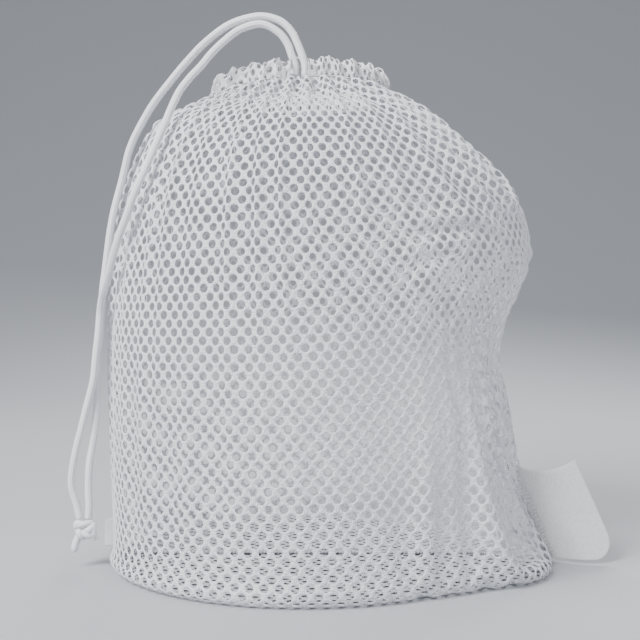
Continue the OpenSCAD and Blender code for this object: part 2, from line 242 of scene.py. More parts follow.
@dataclass
class FilledShape:
    """Outer wall of the filled bag, read from the frame's panels as reach by angle and height.

    The right side keeps a slimmer stack of contents than the wall, so the cloth hangs free
    there, as it does beside a stack of flat discs.
    """

    angle_steps: int = 180
    height_steps: int = 112
    top: float = 0.2786
    stack_reach: float = 0.1085
    stack_height: float = 0.165
    inset: float = 0.0012
    wall: Array = field(init=False)
    heights: Array = field(init=False)
    contents: Array = field(init=False)
    slope: Array = field(init=False)

    def __post_init__(self) -> None:
        """Reads the wall and works out the contents."""
        tree = self._tree()
        self.heights = np.linspace(0.001, self.top, self.height_steps)
        self.wall = np.zeros((self.height_steps, self.angle_steps))
        for i, z in enumerate(self.heights):
            for j in range(self.angle_steps):
                self.wall[i, j] = self._reach(tree, j / self.angle_steps * TAU, z)
        for j in range(self.angle_steps):
            column = self.wall[:, j]
            known = np.nonzero(column > 0)[0]
            last = known[-1]
            rest = np.arange(last + 1, self.height_steps)
            column[rest] = np.maximum(column[last] - 0.004 * (rest - last), 0.03)
        self._shape_contents()

    def _tree(self) -> BVHTree:
        """Search tree over the outer walls of the pouch."""
        points, faces = [], []
        for name in ("front_panel", "back_panel", "side_seam_left", "side_seam_right"):
            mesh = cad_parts[name].data
            start = len(points)
            points += [v.co.copy() for v in mesh.vertices]
            faces += [[start + i for i in p.vertices] for p in mesh.polygons]
        return BVHTree.FromPolygons(points, faces)

    @staticmethod
    def _reach(tree: BVHTree, angle: float, z: float) -> float:
        """Distance from the axis to the outer wall, or 0 above it."""
        out = Vector((math.cos(angle), math.sin(angle), 0))
        start = out * 0.3 + Vector((0, 0, z))
        hit = tree.ray_cast(start, -out, 0.27)
        return 0.0 if hit[0] is None else 0.3 - hit[3]

    def _shape_contents(self) -> None:
        """Slims the contents on the right and works out how their side slopes."""
        angle = (np.arange(self.angle_steps) / self.angle_steps * TAU + math.pi) % TAU - math.pi
        right = 1 - smoothstep(math.radians(38), math.radians(80), np.abs(angle + 0.1))
        low = 1 - smoothstep(self.stack_height - 0.012, self.stack_height + 0.02, self.heights)
        mask = low[:, None] * right[None, :]
        full = self.wall - self.inset
        self.contents = full + (np.minimum(full, self.stack_reach) - full) * mask
        self.slope = np.gradient(self.contents, self.heights, axis=0)

    def sample(self, table: Array, angle: Array, z: Array) -> Array:
        """Reads a table between its points.

        Args:
            table: Values by height and angle.
            angle: Angles round the axis.
            z: Heights.

        Returns:
            The values there.
        """
        a = (angle % TAU) / TAU * self.angle_steps
        a0 = np.floor(a).astype(int) % self.angle_steps
        a1 = (a0 + 1) % self.angle_steps
        fa = a - np.floor(a)
        step = self.heights[1] - self.heights[0]
        h = np.clip((z - self.heights[0]) / step, 0, self.height_steps - 1.001)
        h0 = h.astype(int)
        fh = h - h0
        low = table[h0, a0] * (1 - fa) + table[h0, a1] * fa
        high = table[h0 + 1, a0] * (1 - fa) + table[h0 + 1, a1] * fa
        return low * (1 - fh) + high * fh


@dataclass
class MouthRing:
    """The gathered mouth: an ellipse that falls away from its crest, with cloth in ruffles."""

    centre_x: float = -0.004
    half_width: float = 0.052
    half_depth: float = 0.042
    base: float = 0.279
    crest_x: float = 0.017
    drop: float = 0.006
    height: float = 0.018
    width: float = 0.0074
    pleats: int = 38
    exit_x: float = -0.003
    exit_gap: float = 0.014

    @property
    def exit_turn(self) -> float:
        """Angle of the cord's way out, at the front."""
        return -math.pi / 2 + math.asin((self.exit_x - self.centre_x) / self.half_width)

    def gap_turn(self, share: float = 1.0) -> float:
        """Half the angle that a share of the way out takes."""
        return math.asin(share * self.exit_gap / 2 / self.half_width)

    def fall(self, x: Array) -> Array:
        """How far the rim lies below its crest at x."""
        inside = np.clip(x, -0.060, 0.052)
        return -self.drop * ((inside - self.crest_x) / 0.072) ** 2

    def phase(self, turn: Array) -> Array:
        """Ruffle phase round the mouth, uneven as hand-drawn gathers are."""
        return (self.pleats * turn + 1.1 * np.sin(3 * turn + 0.6) + 0.8 * np.sin(5 * turn + 2.0)
                + 0.5 * np.sin(11 * turn))

    def depth(self, turn: Array) -> Array:
        """How deep the ruffles are round the mouth, smoother to the right of the exit."""
        calm = np.exp(-((((turn + math.pi) % TAU) - math.pi + 1.15) / 0.55) ** 2)
        return (1 - 0.55 * calm) * (0.85 + 0.25 * np.sin(7 * turn + 1.3) + 0.15 * np.sin(13 * turn))

    def point(self, turn: Array, inward: Array, up: Array, ruffle: float = 0.0) -> Array:
        """Places on the ring.

        Args:
            turn: Angles round the mouth.
            inward: Distance in from the outer face.
            up: Height above the channel's lower edge.
            ruffle: How far the ruffles stand out, in metres.

        Returns:
            Points, one for each angle.
        """
        wave = ruffle * self.depth(turn) * np.sin(self.phase(turn))
        side = 0.5 * ruffle * self.depth(turn) * np.cos(self.phase(turn) + 0.5)
        x = self.centre_x + (self.half_width - inward + wave) * np.cos(turn)
        y = (self.half_depth - inward + wave) * np.sin(turn)
        x = x - side * np.sin(turn)
        y = y + side * np.cos(turn)
        return np.stack([x, y, self.base + up + self.fall(x)], axis=-1)


# ---- Draped cloth -------------------------------------------------------------------------


@dataclass
class Pouch:
    """The two panels of knitted mesh as one tube of cloth, draped over the contents.

    Columns run round the pouch from the left seam over the front to the right seam and back
    again. Rows run from the bottom seam over the floor and up to the mouth.
    """

    shape: FilledShape
    mouth: MouthRing
    panel_width: float = 0.380
    panel_height: float = 0.420
    columns: int = 96
    floor_rows: int = 10
    wall_rows: int = 84
    steps: int = 620
    floor_gap: float = 0.0008
    slack: float = 1.0
    drawn: float = 0.957
    gather: float = 0.36
    gather_start: float = 0.70
    rim_out: float = 0.0016
    rim_up: float = 0.0072
    rim_ruffle: float = 0.0018
    fin_top: tuple = (0.1215, -0.008, 0.060)
    fin_foot: tuple = (0.1475, -0.0160, 0.0012)
    # Angle in degrees and reach of the corner that is spread on the floor at the right
    ear: tuple = ((-56, 0.1115), (-50, 0.1135), (-38, 0.122), (-30, 0.132), (-24, 0.1445),
                  (-16, 0.1480), (-6, 0.1483), (3, 0.137), (14, 0.1255), (28, 0.1145),
                  (36, 0.1105))
    grid: Array = field(init=False)

    def rim_reach(self, angle: Array) -> Array:
        """Reach of the edge that rests on the floor, with the spread corner.

        Args:
            angle: Angles round the axis.

        Returns:
            Distances from the axis.
        """
        base = self.shape.sample(self.shape.wall, angle, np.full_like(angle, 0.002))
        degrees = np.degrees((angle + math.pi) % TAU - math.pi)
        corner = np.array(self.ear)
        ear = np.interp(degrees, corner[:, 0], corner[:, 1], left=0, right=0)
        return np.maximum(base, ear)

    def column_angles(self) -> Array:
        """Angle of each column at the floor, with equal lengths of cloth between them."""
        fine = np.linspace(-math.pi, math.pi, 2881)
        reach = self.rim_reach(fine)
        edge = np.stack([reach * np.cos(fine), reach * np.sin(fine)], axis=1)
        run = np.concatenate([[0], np.cumsum(np.linalg.norm(np.diff(edge, axis=0), axis=1))])
        tip = math.atan2(self.fin_foot[1], self.fin_foot[0])
        at_tip = np.interp(tip, fine, run)
        front = np.interp(np.linspace(0, at_tip, self.columns + 1), run, fine)
        back = np.interp(np.linspace(at_tip, run[-1], self.columns + 1), run, fine)
        return np.concatenate([front[:-1], back[:-1]])

    def mouth_turns(self) -> Array:
        """Angle round the mouth of each column, with equal lengths of cloth between them."""
        fine = np.linspace(-math.pi, math.pi, 1441)
        line = self.mouth.point(fine, 0.0, 0.0)[:, :2]
        run = np.concatenate([[0], np.cumsum(np.linalg.norm(np.diff(line, axis=0), axis=1))])
        half = np.interp(0.0, fine, run)
        front = np.interp(np.linspace(0, half, self.columns + 1), run, fine)
        back = np.interp(np.linspace(half, run[-1], self.columns + 1), run, fine)
        return np.concatenate([front[:-1], back[:-1]])

    def starting_grid(self) -> Array:
        """Lays the cloth on the filled shape before it settles.

        Returns:
            Points by row and column.
        """
        angles, turns = self.column_angles(), self.mouth_turns()
        total = 2 * self.columns
        grid = np.zeros((self.floor_rows + self.wall_rows + 1, total, 3))
        reach = self.rim_reach(angles)
        rim_x, rim_y = reach * np.cos(angles), reach * np.sin(angles)
        seam_y = self.fin_foot[1] * smoothstep(0.100, self.fin_foot[0], rim_x)
        for r in range(self.floor_rows):
            share = r / self.floor_rows
            grid[r, :, 0] = rim_x
            grid[r, :, 1] = seam_y + (rim_y - seam_y) * share
            grid[r, :, 2] = self.floor_gap
        rise = np.linspace(0.002, 1.0, 160)
        degrees = np.degrees((angles + math.pi) % TAU - math.pi)
        fin = np.exp(-((degrees + 5) / 9.0) ** 2)
        ear_height = 0.013 + 0.047 * fin
        power = 2.2 - 1.2 * fin
        # The cloth runs up outside the channel to its stitches
        rims = self.mouth.point(turns, -self.rim_out, self.rim_up, self.rim_ruffle)
        for c in range(total):
            # The angle turns from the column's place at the floor to its place at the mouth
            blend = smoothstep(0.15, 1.0, rise)
            target = math.atan2(rims[c, 1], rims[c, 0])
            turn = (target - angles[c] + math.pi) % TAU - math.pi
            angle = angles[c] + turn * blend
            top = rims[c, 2] - 0.0015
            z = 0.001 + (top - 0.001) * rise
            wall = self.shape.sample(self.shape.wall, angle, z)
            base = self.shape.sample(self.shape.wall, angle[:1], np.array([0.002]))[0]
            spread = (reach[c] - base) * np.clip(1 - z / ear_height[c], 0, 1) ** power[c]
            radius = wall + spread
            line = np.stack([radius * np.cos(angle), radius * np.sin(angle), z], axis=1)
            line = np.vstack([[rim_x[c], rim_y[c], self.floor_gap], line, rims[c]])
            keep = np.ones(len(line), bool)
            edge = np.linalg.norm(rims[c, :2])
            keep[1:-1] = (radius > edge + 0.002) | (z < 0.2)
            grid[self.floor_rows:, c] = resample(line[keep], self.wall_rows + 1)
        return grid

    def settle(self) -> None:
        """Drapes the cloth: small steps with stretch, shear, bending, contact and friction."""
        x = self.starting_grid()
        rows, cols = x.shape[:2]
        first = self.floor_rows
        rng = np.random.default_rng(11)
        x[first + 1:-1] += rng.normal(0, 0.0005, x[first + 1:-1].shape)
        start = self.starting_grid()
        along = np.linalg.norm(np.diff(start, axis=0), axis=2)
        along[first:] = along[first:].mean(axis=0)
        along[first:] *= self.drawn + (self.slack - self.drawn) * self._loose(start[first])
        share = np.clip((np.arange(rows) - first) / self.wall_rows, 0, 1)
        narrow = 1 - self.gather * smoothstep(self.gather_start, 1.0, share)
        flat = self.panel_width / self.columns * narrow[:, None]
        drawn = np.linalg.norm(np.roll(start, -1, axis=1) - start, axis=2)
        across = flat + (np.minimum(drawn, flat) - flat) * self._taut(start, share)
        move = np.ones((rows, cols, 1))
        move[:first + 1] = 0
        move[-1] = 0
        guide, hold = self._fin_guide(x)
        solver = ClothSolver(x, across, along, move, self.shape, guide, hold)
        steps = self.steps
        solver.run(steps)
        self.grid = solver.x
        LOG.info("pouch draped: %d by %d points, %d steps", rows, cols, steps)

    @staticmethod
    def _loose(start: Array) -> Array:
        """Which columns have spare cloth: over the spread corner, and some at the back."""
        degrees = np.degrees(np.arctan2(start[:, 1], start[:, 0]))
        corner = smoothstep(-82, -40, degrees) * (1 - smoothstep(20, 45, degrees))
        back = smoothstep(30, 60, degrees) * (1 - smoothstep(130, 165, degrees))
        return corner + 0.3 * back

    def _taut(self, start: Array, share: Array) -> Array:
        """Where the cloth is drawn tight: the front and left, below the gathers.

        Args:
            start: The cloth before it settles.
            share: Height of each row on the wall, from 0 to 1.

        Returns:
            1 where the cloth has no slack, by row and column.
        """
        angle = np.arctan2(start[..., 1], start[..., 0])
        front = smoothstep(0.15, 0.85, np.sin(-angle)) * smoothstep(-0.75, -0.25, -np.cos(angle))
        return 0.9 * front * (1 - smoothstep(0.82, 1.0, share))[:, None]

    def _fin_guide(self, x: Array) -> tuple:
        """Where the right seam stands up from the spread corner, and how firmly it is held."""
        column = self.columns
        foot, top = np.array(self.fin_foot), np.array(self.fin_top)
        guide, hold = x.copy(), np.zeros(x.shape[:2] + (1,))
        z = x[:, column, 2]
        inside = (np.arange(len(x)) > self.floor_rows) & (z < top[2])
        t = (z - foot[2]) / (top[2] - foot[2])
        line = foot + (top - foot) * t[:, None]
        guide[inside, column] = line[inside]
        hold[inside, column] = 0.3
        # The cloth is drawn in a little between the bulge and the spread corner
        degrees = np.degrees(np.arctan2(x[..., 1], x[..., 0]))
        waist = smoothstep(-62, -38, degrees) * (1 - smoothstep(12, 38, degrees))
        waist *= smoothstep(0.075, 0.115, x[..., 2]) * (1 - smoothstep(0.165, 0.200, x[..., 2]))
        hold[..., 0] = np.maximum(hold[..., 0], 0.05 * waist)
        return guide, hold

    def smooth_grid(self, factor: int = 2) -> Array:
        """The draped points, with more of them on smooth curves between.

        Args:
            factor: Steps between two draped points.

        Returns:
            Points by row and column, with the first column repeated at the end.
        """
        g = np.concatenate([self.grid[:, -1:], self.grid, self.grid[:, :2]], axis=1)
        g = self._finer(g, 1, factor)
        g = np.concatenate([2 * g[:1] - g[1:2], g, 2 * g[-1:] - g[-2:-1]], axis=0)
        return self._finer(g, 0, factor)

    @staticmethod
    def _finer(g: Array, axis: int, factor: int) -> Array:
        """Catmull-Rom steps between the points along one axis, without the outer ones."""
        g = np.moveaxis(g, axis, 0)
        a, b, c, d = g[:-3], g[1:-2], g[2:-1], g[3:]
        parts = []
        for k in range(factor):
            t = k / factor
            parts.append(0.5 * (2 * b + (c - a) * t + (2 * a - 5 * b + 4 * c - d) * t**2
                                + (3 * b - a - 3 * c + d) * t**3))
        fine = np.stack(parts, axis=1).reshape((-1,) + g.shape[1:])
        fine = np.concatenate([fine, g[-2:-1]])
        return np.moveaxis(fine, 0, axis)


@dataclass
class ClothSolver:
    """Position-based cloth on a grid that wraps round in its columns."""

    x: Array
    across: Array
    along: Array
    move: Array
    shape: FilledShape
    guide: Array
    hold: Array
    gravity: float = 0.6
    time_step: float = 0.003
    damping: float = 0.96
    shear: float = 0.12
    bend: float = 0.10
    friction: float = 0.35
    floor: float = 0.0008
    velocity: Array = field(init=False)

    def __post_init__(self) -> None:
        """Starts the cloth at rest."""
        self.velocity = np.zeros_like(self.x)

    def _pull(self, a: tuple, b: tuple, rest: Array, share: float, both: bool = True) -> None:
        """Moves pairs of points towards their rest distance.

        Args:
            a: Rows and columns of the first points.
            b: Rows and columns of the second points.
            rest: Rest distances.
            share: How much of the difference is taken up.
            both: Whether points that are too close are moved apart too.
        """
        x, move = self.x, self.move
        gap = x[b] - x[a]
        size = np.sqrt((gap * gap).sum(axis=-1, keepdims=True)) + 1e-9
        over = size - rest
        if not both:
            over = np.maximum(over, 0)
        wa, wb = move[a], move[b]
        fix = gap * (share * over / size / np.maximum(wa + wb, 1e-6))
        x[a] += fix * wa
        x[b] -= fix * wb

    def _pairs(self) -> list:
        """Sets of pairs that share no point, for stretch, shear and bending."""
        rows, cols = self.x.shape[:2]
        r, c = np.arange(rows), np.arange(cols)
        sets = []
        for start in (0, 1):
            ca = c[start::2]
            cb = (ca + 1) % cols
            sets.append((np.ix_(r, ca), np.ix_(r, cb), self.across[:, ca, None], 1.0, True))
            ra = r[start:-1:2]
            sets.append((np.ix_(ra, c), np.ix_(ra + 1, c), self.along[ra][:, :, None], 1.0, True))
            mean = 0.5 * (self.across[ra] + self.across[ra + 1])
            rest = np.sqrt(mean**2 + self.along[ra] ** 2)[:, :, None]
            sets.append((np.ix_(ra, c), np.ix_(ra + 1, (c + 1) % cols), rest, self.shear, True))
            sets.append((np.ix_(ra, (c + 1) % cols), np.ix_(ra + 1, c), rest, self.shear, True))
        for start in (0, 2):
            ca = c[(c % 4 == start) | (c % 4 == start + 1)]
            sets.append((np.ix_(r, ca), np.ix_(r, (ca + 2) % cols),
                         2 * self.across[:, ca, None], self.bend, True))
            ra = r[:-2][(r[:-2] % 4 == start) | (r[:-2] % 4 == start + 1)]
            rest = (self.along[ra] + self.along[ra + 1])[:, :, None]
            sets.append((np.ix_(ra, c), np.ix_(ra + 2, c), rest, self.bend, True))
        return sets

    def _touch(self, before: Array) -> None:
        """Keeps the cloth off the contents and the floor, with friction where it touches."""
        x = self.x
        radius = np.sqrt(x[..., 0] ** 2 + x[..., 1] ** 2) + 1e-9
        angle = np.arctan2(x[..., 1], x[..., 0])
        reach = self.shape.sample(self.shape.contents, angle, x[..., 2])
        slope = np.clip(self.shape.sample(self.shape.slope, angle, x[..., 2]), -4, 1.5)
        below = reach - radius
        inside = (below > 0) & (x[..., 2] > 0.0015)
        scale = 1 / (1 + slope**2)
        out = np.where(inside, below * scale, 0)
        x[..., 0] += out * x[..., 0] / radius
        x[..., 1] += out * x[..., 1] / radius
        x[..., 2] -= out * slope
        low = x[..., 2] < self.floor
        x[..., 2] = np.where(low, self.floor, x[..., 2])
        held = (inside | low)[..., None]
        slid = x - before
        self.x = np.where(held, x - self.friction * slid, x)
        self.x = self.x * self.move + before * (1 - self.move)

    def run(self, steps: int) -> None:
        """Settles the cloth.

        Args:
            steps: Number of small time steps.
        """
        sets = self._pairs()
        for _ in range(steps):
            before = self.x.copy()
            self.velocity[..., 2] -= self.gravity * self.time_step
            self.x = self.x + self.velocity * self.time_step * self.move
            for pair in sets:
                self._pull(*pair)
            self.x += (self.guide - self.x) * self.hold
            self._touch(before)
            self.velocity = (self.x - before) / self.time_step * self.damping
            limit = 0.6
            speed = np.sqrt((self.velocity**2).sum(axis=-1, keepdims=True)) + 1e-9
            self.velocity *= np.minimum(1, limit / speed)


# ---- Node trees ---------------------------------------------------------------------------


class TreeBuilder:
    """Adds and joins nodes in a shader or geometry tree, by the sockets' names."""

    def __init__(self, tree: bpy.types.NodeTree) -> None:
        """Starts on an empty tree."""
        self.tree = tree
        self.count = 0

    def add(self, kind: str, inputs: dict | None = None, **settings: object) -> bpy.types.Node:
        """Adds a node.

        Args:
            kind: Blender's name of the node type.
            inputs: Values or output sockets, by input name or number.
            settings: Properties of the node.

        Returns:
            The new node.
        """
        node = self.tree.nodes.new(kind)
        node.location = (self.count * 180, -(self.count % 4) * 160)
        self.count += 1
        for key, value in settings.items():
            setattr(node, key, value)
        for key, value in (inputs or {}).items():
            socket = node.inputs[key]
            if isinstance(value, bpy.types.NodeSocket):
                self.tree.links.new(value, socket)
            else:
                socket.default_value = value
        return node

    def math(self, operation: str, *values: object) -> bpy.types.NodeSocket:
        """Adds a Math node and returns its result."""
        node = self.add("ShaderNodeMath", dict(enumerate(values)), operation=operation)
        return node.outputs[0]

    def vector(self, operation: str, *values: object) -> bpy.types.NodeSocket:
        """Adds a Vector Math node and returns its vector."""
        node = self.add("ShaderNodeVectorMath", dict(enumerate(values)), operation=operation)
        return node.outputs[0]

    def mix(self, factor: object, low: object, high: object) -> bpy.types.NodeSocket:
        """Mixes two colours and returns the result."""
        node = self.add("ShaderNodeMix", {0: factor}, data_type="RGBA")
        for socket, value in ((node.inputs[6], low), (node.inputs[7], high)):
            if isinstance(value, bpy.types.NodeSocket):
                self.tree.links.new(value, socket)
            else:
                socket.default_value = value
        return node.outputs[2]


def new_sockets(tree: bpy.types.NodeTree, way: str, sockets: dict) -> None:
    """Adds named sockets to a tree.

    Args:
        tree: The tree.
        way: INPUT or OUTPUT.
        sockets: Socket type and default value, by name.
    """
    for name, (kind, default) in sockets.items():
        socket = tree.interface.new_socket(name=name, in_out=way, socket_type=kind)
        if default is not None:
            socket.default_value = default


FLOAT, VECTOR, COLOR = "NodeSocketFloat", "NodeSocketVector", "NodeSocketColor"
INTEGER, GEOMETRY = "NodeSocketInt", "NodeSocketGeometry"
OBJECT, MATERIAL = "NodeSocketObject", "NodeSocketMaterial"


# ---- Shared shader effects ----------------------------------------------------------------


def knit_group() -> bpy.types.NodeTree:
    """Knitted yarn: small loops as height and a light and shade mask, in Object coordinates."""
    tree = bpy.data.node_groups.new("knit_loops", "ShaderNodeTree")
    new_sockets(tree, "INPUT", {"Loop Size": (FLOAT, 0.0009), "Fuzz": (FLOAT, 0.4)})
    new_sockets(tree, "OUTPUT", {"Mask": (FLOAT, None), "Height": (FLOAT, None)})
    b = TreeBuilder(tree)
    given = b.add("NodeGroupInput")
    place = b.add("ShaderNodeTexCoord").outputs["Object"]
    scale = b.math("DIVIDE", 1.0, given.outputs["Loop Size"])
    loops = b.add("ShaderNodeTexVoronoi", {"Vector": place, "Scale": scale, "Randomness": 0.75})
    dome = b.math("SUBTRACT", 1.0, b.math("MULTIPLY", loops.outputs["Distance"], 1.25))
    hairs = b.add("ShaderNodeTexNoise", {"Vector": place, "Scale": b.math("MULTIPLY", scale, 2.6),
                                         "Detail": 2.0, "Roughness": 0.6})
    fuzz = b.math("MULTIPLY", b.math("SUBTRACT", hairs.outputs["Fac"], 0.5), given.outputs["Fuzz"])
    height = b.math("ADD", dome, fuzz)
    mask = b.add("ShaderNodeMapRange", {"Value": height, "From Min": 0.1, "From Max": 0.95})
    out = b.add("NodeGroupOutput")
    tree.links.new(mask.outputs[0], out.inputs["Mask"])
    tree.links.new(height, out.inputs["Height"])
    return tree


def drift_group() -> bpy.types.NodeTree:
    """Slow change of tone over cloth, as handling and storage leave it."""
    tree = bpy.data.node_groups.new("tone_drift", "ShaderNodeTree")
    new_sockets(tree, "INPUT", {"Color": (COLOR, (1, 1, 1, 1)), "Shade": (COLOR, (1, 1, 1, 1)),
                                "Size": (FLOAT, 0.05), "Amount": (FLOAT, 0.5)})
    new_sockets(tree, "OUTPUT", {"Color": (COLOR, None), "Mask": (FLOAT, None)})
    b = TreeBuilder(tree)
    given = b.add("NodeGroupInput")
    place = b.add("ShaderNodeTexCoord").outputs["Object"]
    noise = b.add("ShaderNodeTexNoise", {"Vector": place,
                                         "Scale": b.math("DIVIDE", 1.0, given.outputs["Size"]),
                                         "Detail": 4.0, "Roughness": 0.55})
    mask = b.add("ShaderNodeMapRange", {"Value": noise.outputs["Fac"], "From Min": 0.35,
                                        "From Max": 0.72})
    share = b.math("MULTIPLY", mask.outputs[0], given.outputs["Amount"])
    colour = b.mix(share, given.outputs["Color"], given.outputs["Shade"])
    out = b.add("NodeGroupOutput")
    tree.links.new(colour, out.inputs["Color"])
    tree.links.new(share, out.inputs["Mask"])
    return tree


def braid_group() -> bpy.types.NodeTree:
    """Braid of a round cord: strands that cross both ways, on the cord's own UV map; its mask is low
    in the grooves between strands, where the finish paints shade.
    """
    tree = bpy.data.node_groups.new("cord_braid", "ShaderNodeTree")
    new_sockets(tree, "INPUT", {"Carriers": (FLOAT, 8.0), "Pitch": (FLOAT, 0.009)})
    new_sockets(tree, "OUTPUT", {"Mask": (FLOAT, None), "Height": (FLOAT, None)})
    b = TreeBuilder(tree)
    given = b.add("NodeGroupInput")
    uv = b.add("ShaderNodeSeparateXYZ", {0: b.add("ShaderNodeUVMap", uv_map="cord_uv").outputs[0]})
    around = b.math("MULTIPLY", uv.outputs["X"], given.outputs["Carriers"])
    along = b.math("MULTIPLY", b.math("DIVIDE", uv.outputs["Y"], given.outputs["Pitch"]),
                   given.outputs["Carriers"])
    waves = []
    for operation in ("ADD", "SUBTRACT"):
        phase = b.math(operation, around, along)
        waves.append(b.math("ABSOLUTE", b.math("SINE", b.math("MULTIPLY", phase, math.pi))))
    over = b.math("GREATER_THAN", b.math("SINE", b.math("MULTIPLY", along, TAU)), 0.0)
    strand = b.add("ShaderNodeMix", {0: over, 2: waves[0], 3: waves[1]}, data_type="FLOAT")
    height = b.math("POWER", strand.outputs[0], 0.6)
    out = b.add("NodeGroupOutput")
    tree.links.new(strand.outputs[0], out.inputs["Mask"])
    tree.links.new(height, out.inputs["Height"])
    return tree


@dataclass(frozen=True)
class Finish:
    """A finish of white textile: its colours, gloss and the size of what shows in it; its shade
    colour also gives the painted shade between loops or strands.
    """

    name: str
    color: tuple
    shade: tuple
    roughness: float
    sheen: float
    bump: float
    scatter: float = 0.0
    grain: float = 0.0009
    fuzz: float = 0.4
    drift_size: float = 0.05

    def material(self, groups: dict) -> bpy.types.Material:
        """Builds the material.

        Args:
            groups: The shared shader groups, by name.

        Returns:
            The new material.
        """
        made = bpy.data.materials.new(self.name)
        made.use_nodes = True
        tree = made.node_tree
        tree.nodes.clear()
        b = TreeBuilder(tree)
        mask, height = self.relief(b, groups)
        drift = b.add("ShaderNodeGroup", node_tree=groups["drift"])
        drift.inputs["Color"].default_value = (*self.color, 1)
        drift.inputs["Shade"].default_value = (*self.shade, 1)
        drift.inputs["Size"].default_value = self.drift_size
        drift.inputs["Amount"].default_value = 0.6
        # Painted shade: where the knit or braid mask is low, between the yarn's loops or the cord's
        # strands, the colour is darkened towards 0.62 of the shade colour
        deep = b.mix(b.math("MULTIPLY", b.math("SUBTRACT", 1.0, mask), 0.60),
                     drift.outputs["Color"], (*[v * 0.62 for v in self.shade], 1))
        rough = b.math("ADD", self.roughness - 0.06, b.math("MULTIPLY", mask, 0.12))
        bump = b.add("ShaderNodeBump", {"Height": height, "Strength": self.bump,
                                        "Distance": 0.0004})
        shader = b.add("ShaderNodeBsdfPrincipled", {
            "Base Color": deep, "Roughness": rough, "Normal": bump.outputs[0],
            "Sheen Weight": self.sheen, "Sheen Roughness": 0.5,
            "Subsurface Weight": self.scatter, "Subsurface Scale": 0.0015, "IOR": 1.46})
        shader.inputs["Subsurface Radius"].default_value = (1.0, 0.95, 0.95)
        out = b.add("ShaderNodeOutputMaterial")
        tree.links.new(shader.outputs[0], out.inputs["Surface"])
        made.diffuse_color = (*self.color, 1)
        return made

    def relief(self, b: TreeBuilder, groups: dict) -> tuple:
        """Small loops of yarn, as a mask and a height; the mask sets the painted shade between the
        loops.
        """
        knit = b.add("ShaderNodeGroup", node_tree=groups["knit"])
        knit.inputs["Loop Size"].default_value = self.grain
        knit.inputs["Fuzz"].default_value = self.fuzz
        return knit.outputs["Mask"], knit.outputs["Height"]


@dataclass(frozen=True)
class BraidFinish(Finish):
    """Braided cord, its strands laid by the cord's own UV map."""

    carriers: float = 8.0
    pitch: float = 0.0095

    def relief(self, b: TreeBuilder, groups: dict) -> tuple:
        """Crossing strands with fine filaments, as a mask and a height; the mask sets the painted
        shade in the grooves between strands.
        """
        braid = b.add("ShaderNodeGroup", node_tree=groups["braid"])
        braid.inputs["Carriers"].default_value = self.carriers
        braid.inputs["Pitch"].default_value = self.pitch
        knit = b.add("ShaderNodeGroup", node_tree=groups["knit"])
        knit.inputs["Loop Size"].default_value = self.grain
        knit.inputs["Fuzz"].default_value = self.fuzz
        height = b.math("ADD", braid.outputs["Height"],
                        b.math("MULTIPLY", knit.outputs["Height"], 0.18))
        return braid.outputs["Mask"], height


MESH_KNIT = Finish("white_mesh_knit", (0.90, 0.91, 0.95), (0.80, 0.81, 0.88), 0.72, 0.25, 1.0,
                   scatter=0.12, grain=0.0010)
HEM_KNIT = Finish("hem_mesh_knit", (0.92, 0.93, 0.95), (0.83, 0.84, 0.88), 0.74, 0.25, 0.6,
                  scatter=0.12, grain=0.0007)
SEWING_THREAD = Finish("overlock_thread", (0.93, 0.93, 0.95), (0.80, 0.81, 0.86), 0.5, 0.15, 0.5,
                       grain=0.0004, fuzz=0.7, drift_size=0.01)
CORD_BRAID = BraidFinish("braided_cord_white", (0.90, 0.90, 0.93), (0.80, 0.80, 0.86), 0.42, 0.2,
                         0.55, scatter=0.08, grain=0.0005, fuzz=0.6)
LABEL_FELT = Finish("label_nonwoven", (0.86, 0.87, 0.87), (0.80, 0.81, 0.82), 0.66, 0.1, 0.18,
                    scatter=0.1, grain=0.0006, fuzz=1.0, drift_size=0.02)


class Wardrobe:
    """All materials of the bag, made once."""

    def __init__(self) -> None:
        """Builds the shared groups and each finish."""
        groups = {"knit": knit_group(), "drift": drift_group(), "braid": braid_group()}
        self.mesh = MESH_KNIT.material(groups)
        self.hem = HEM_KNIT.material(groups)
        self.thread = SEWING_THREAD.material(groups)
        self.cord = CORD_BRAID.material(groups)
        self.label = LABEL_FELT.material(groups)


# ---- Geometry node trees ------------------------------------------------------------------


def socket_id(tree: bpy.types.NodeTree, name: str) -> str:
    """Identifier of a tree's input socket."""
    return next(item.identifier for item in tree.interface.items_tree
                if item.name == name and item.in_out == "INPUT")


def applied(obj: bpy.types.Object, tree: bpy.types.NodeTree, values: dict,
            name: str) -> bpy.types.Object:
    """Runs a geometry tree on an object and keeps the result as a plain mesh.

    Args:
        obj: The object that the tree starts from, which is removed.
        tree: The geometry tree.
        values: The tree's inputs, by name.
        name: Name of the piece that is made.

    Returns:
        The new piece.
    """
    modifier = obj.modifiers.new("nodes", "NODES")
    modifier.node_group = tree
    for key, value in values.items():
        modifier[socket_id(tree, key)] = value
    bpy.context.view_layer.update()
    depsgraph = bpy.context.evaluated_depsgraph_get()
    mesh = bpy.data.meshes.new_from_object(obj.evaluated_get(depsgraph), depsgraph=depsgraph)
    mesh.name = name
    bpy.data.objects.remove(obj)
    return link(bpy.data.objects.new(name, mesh))


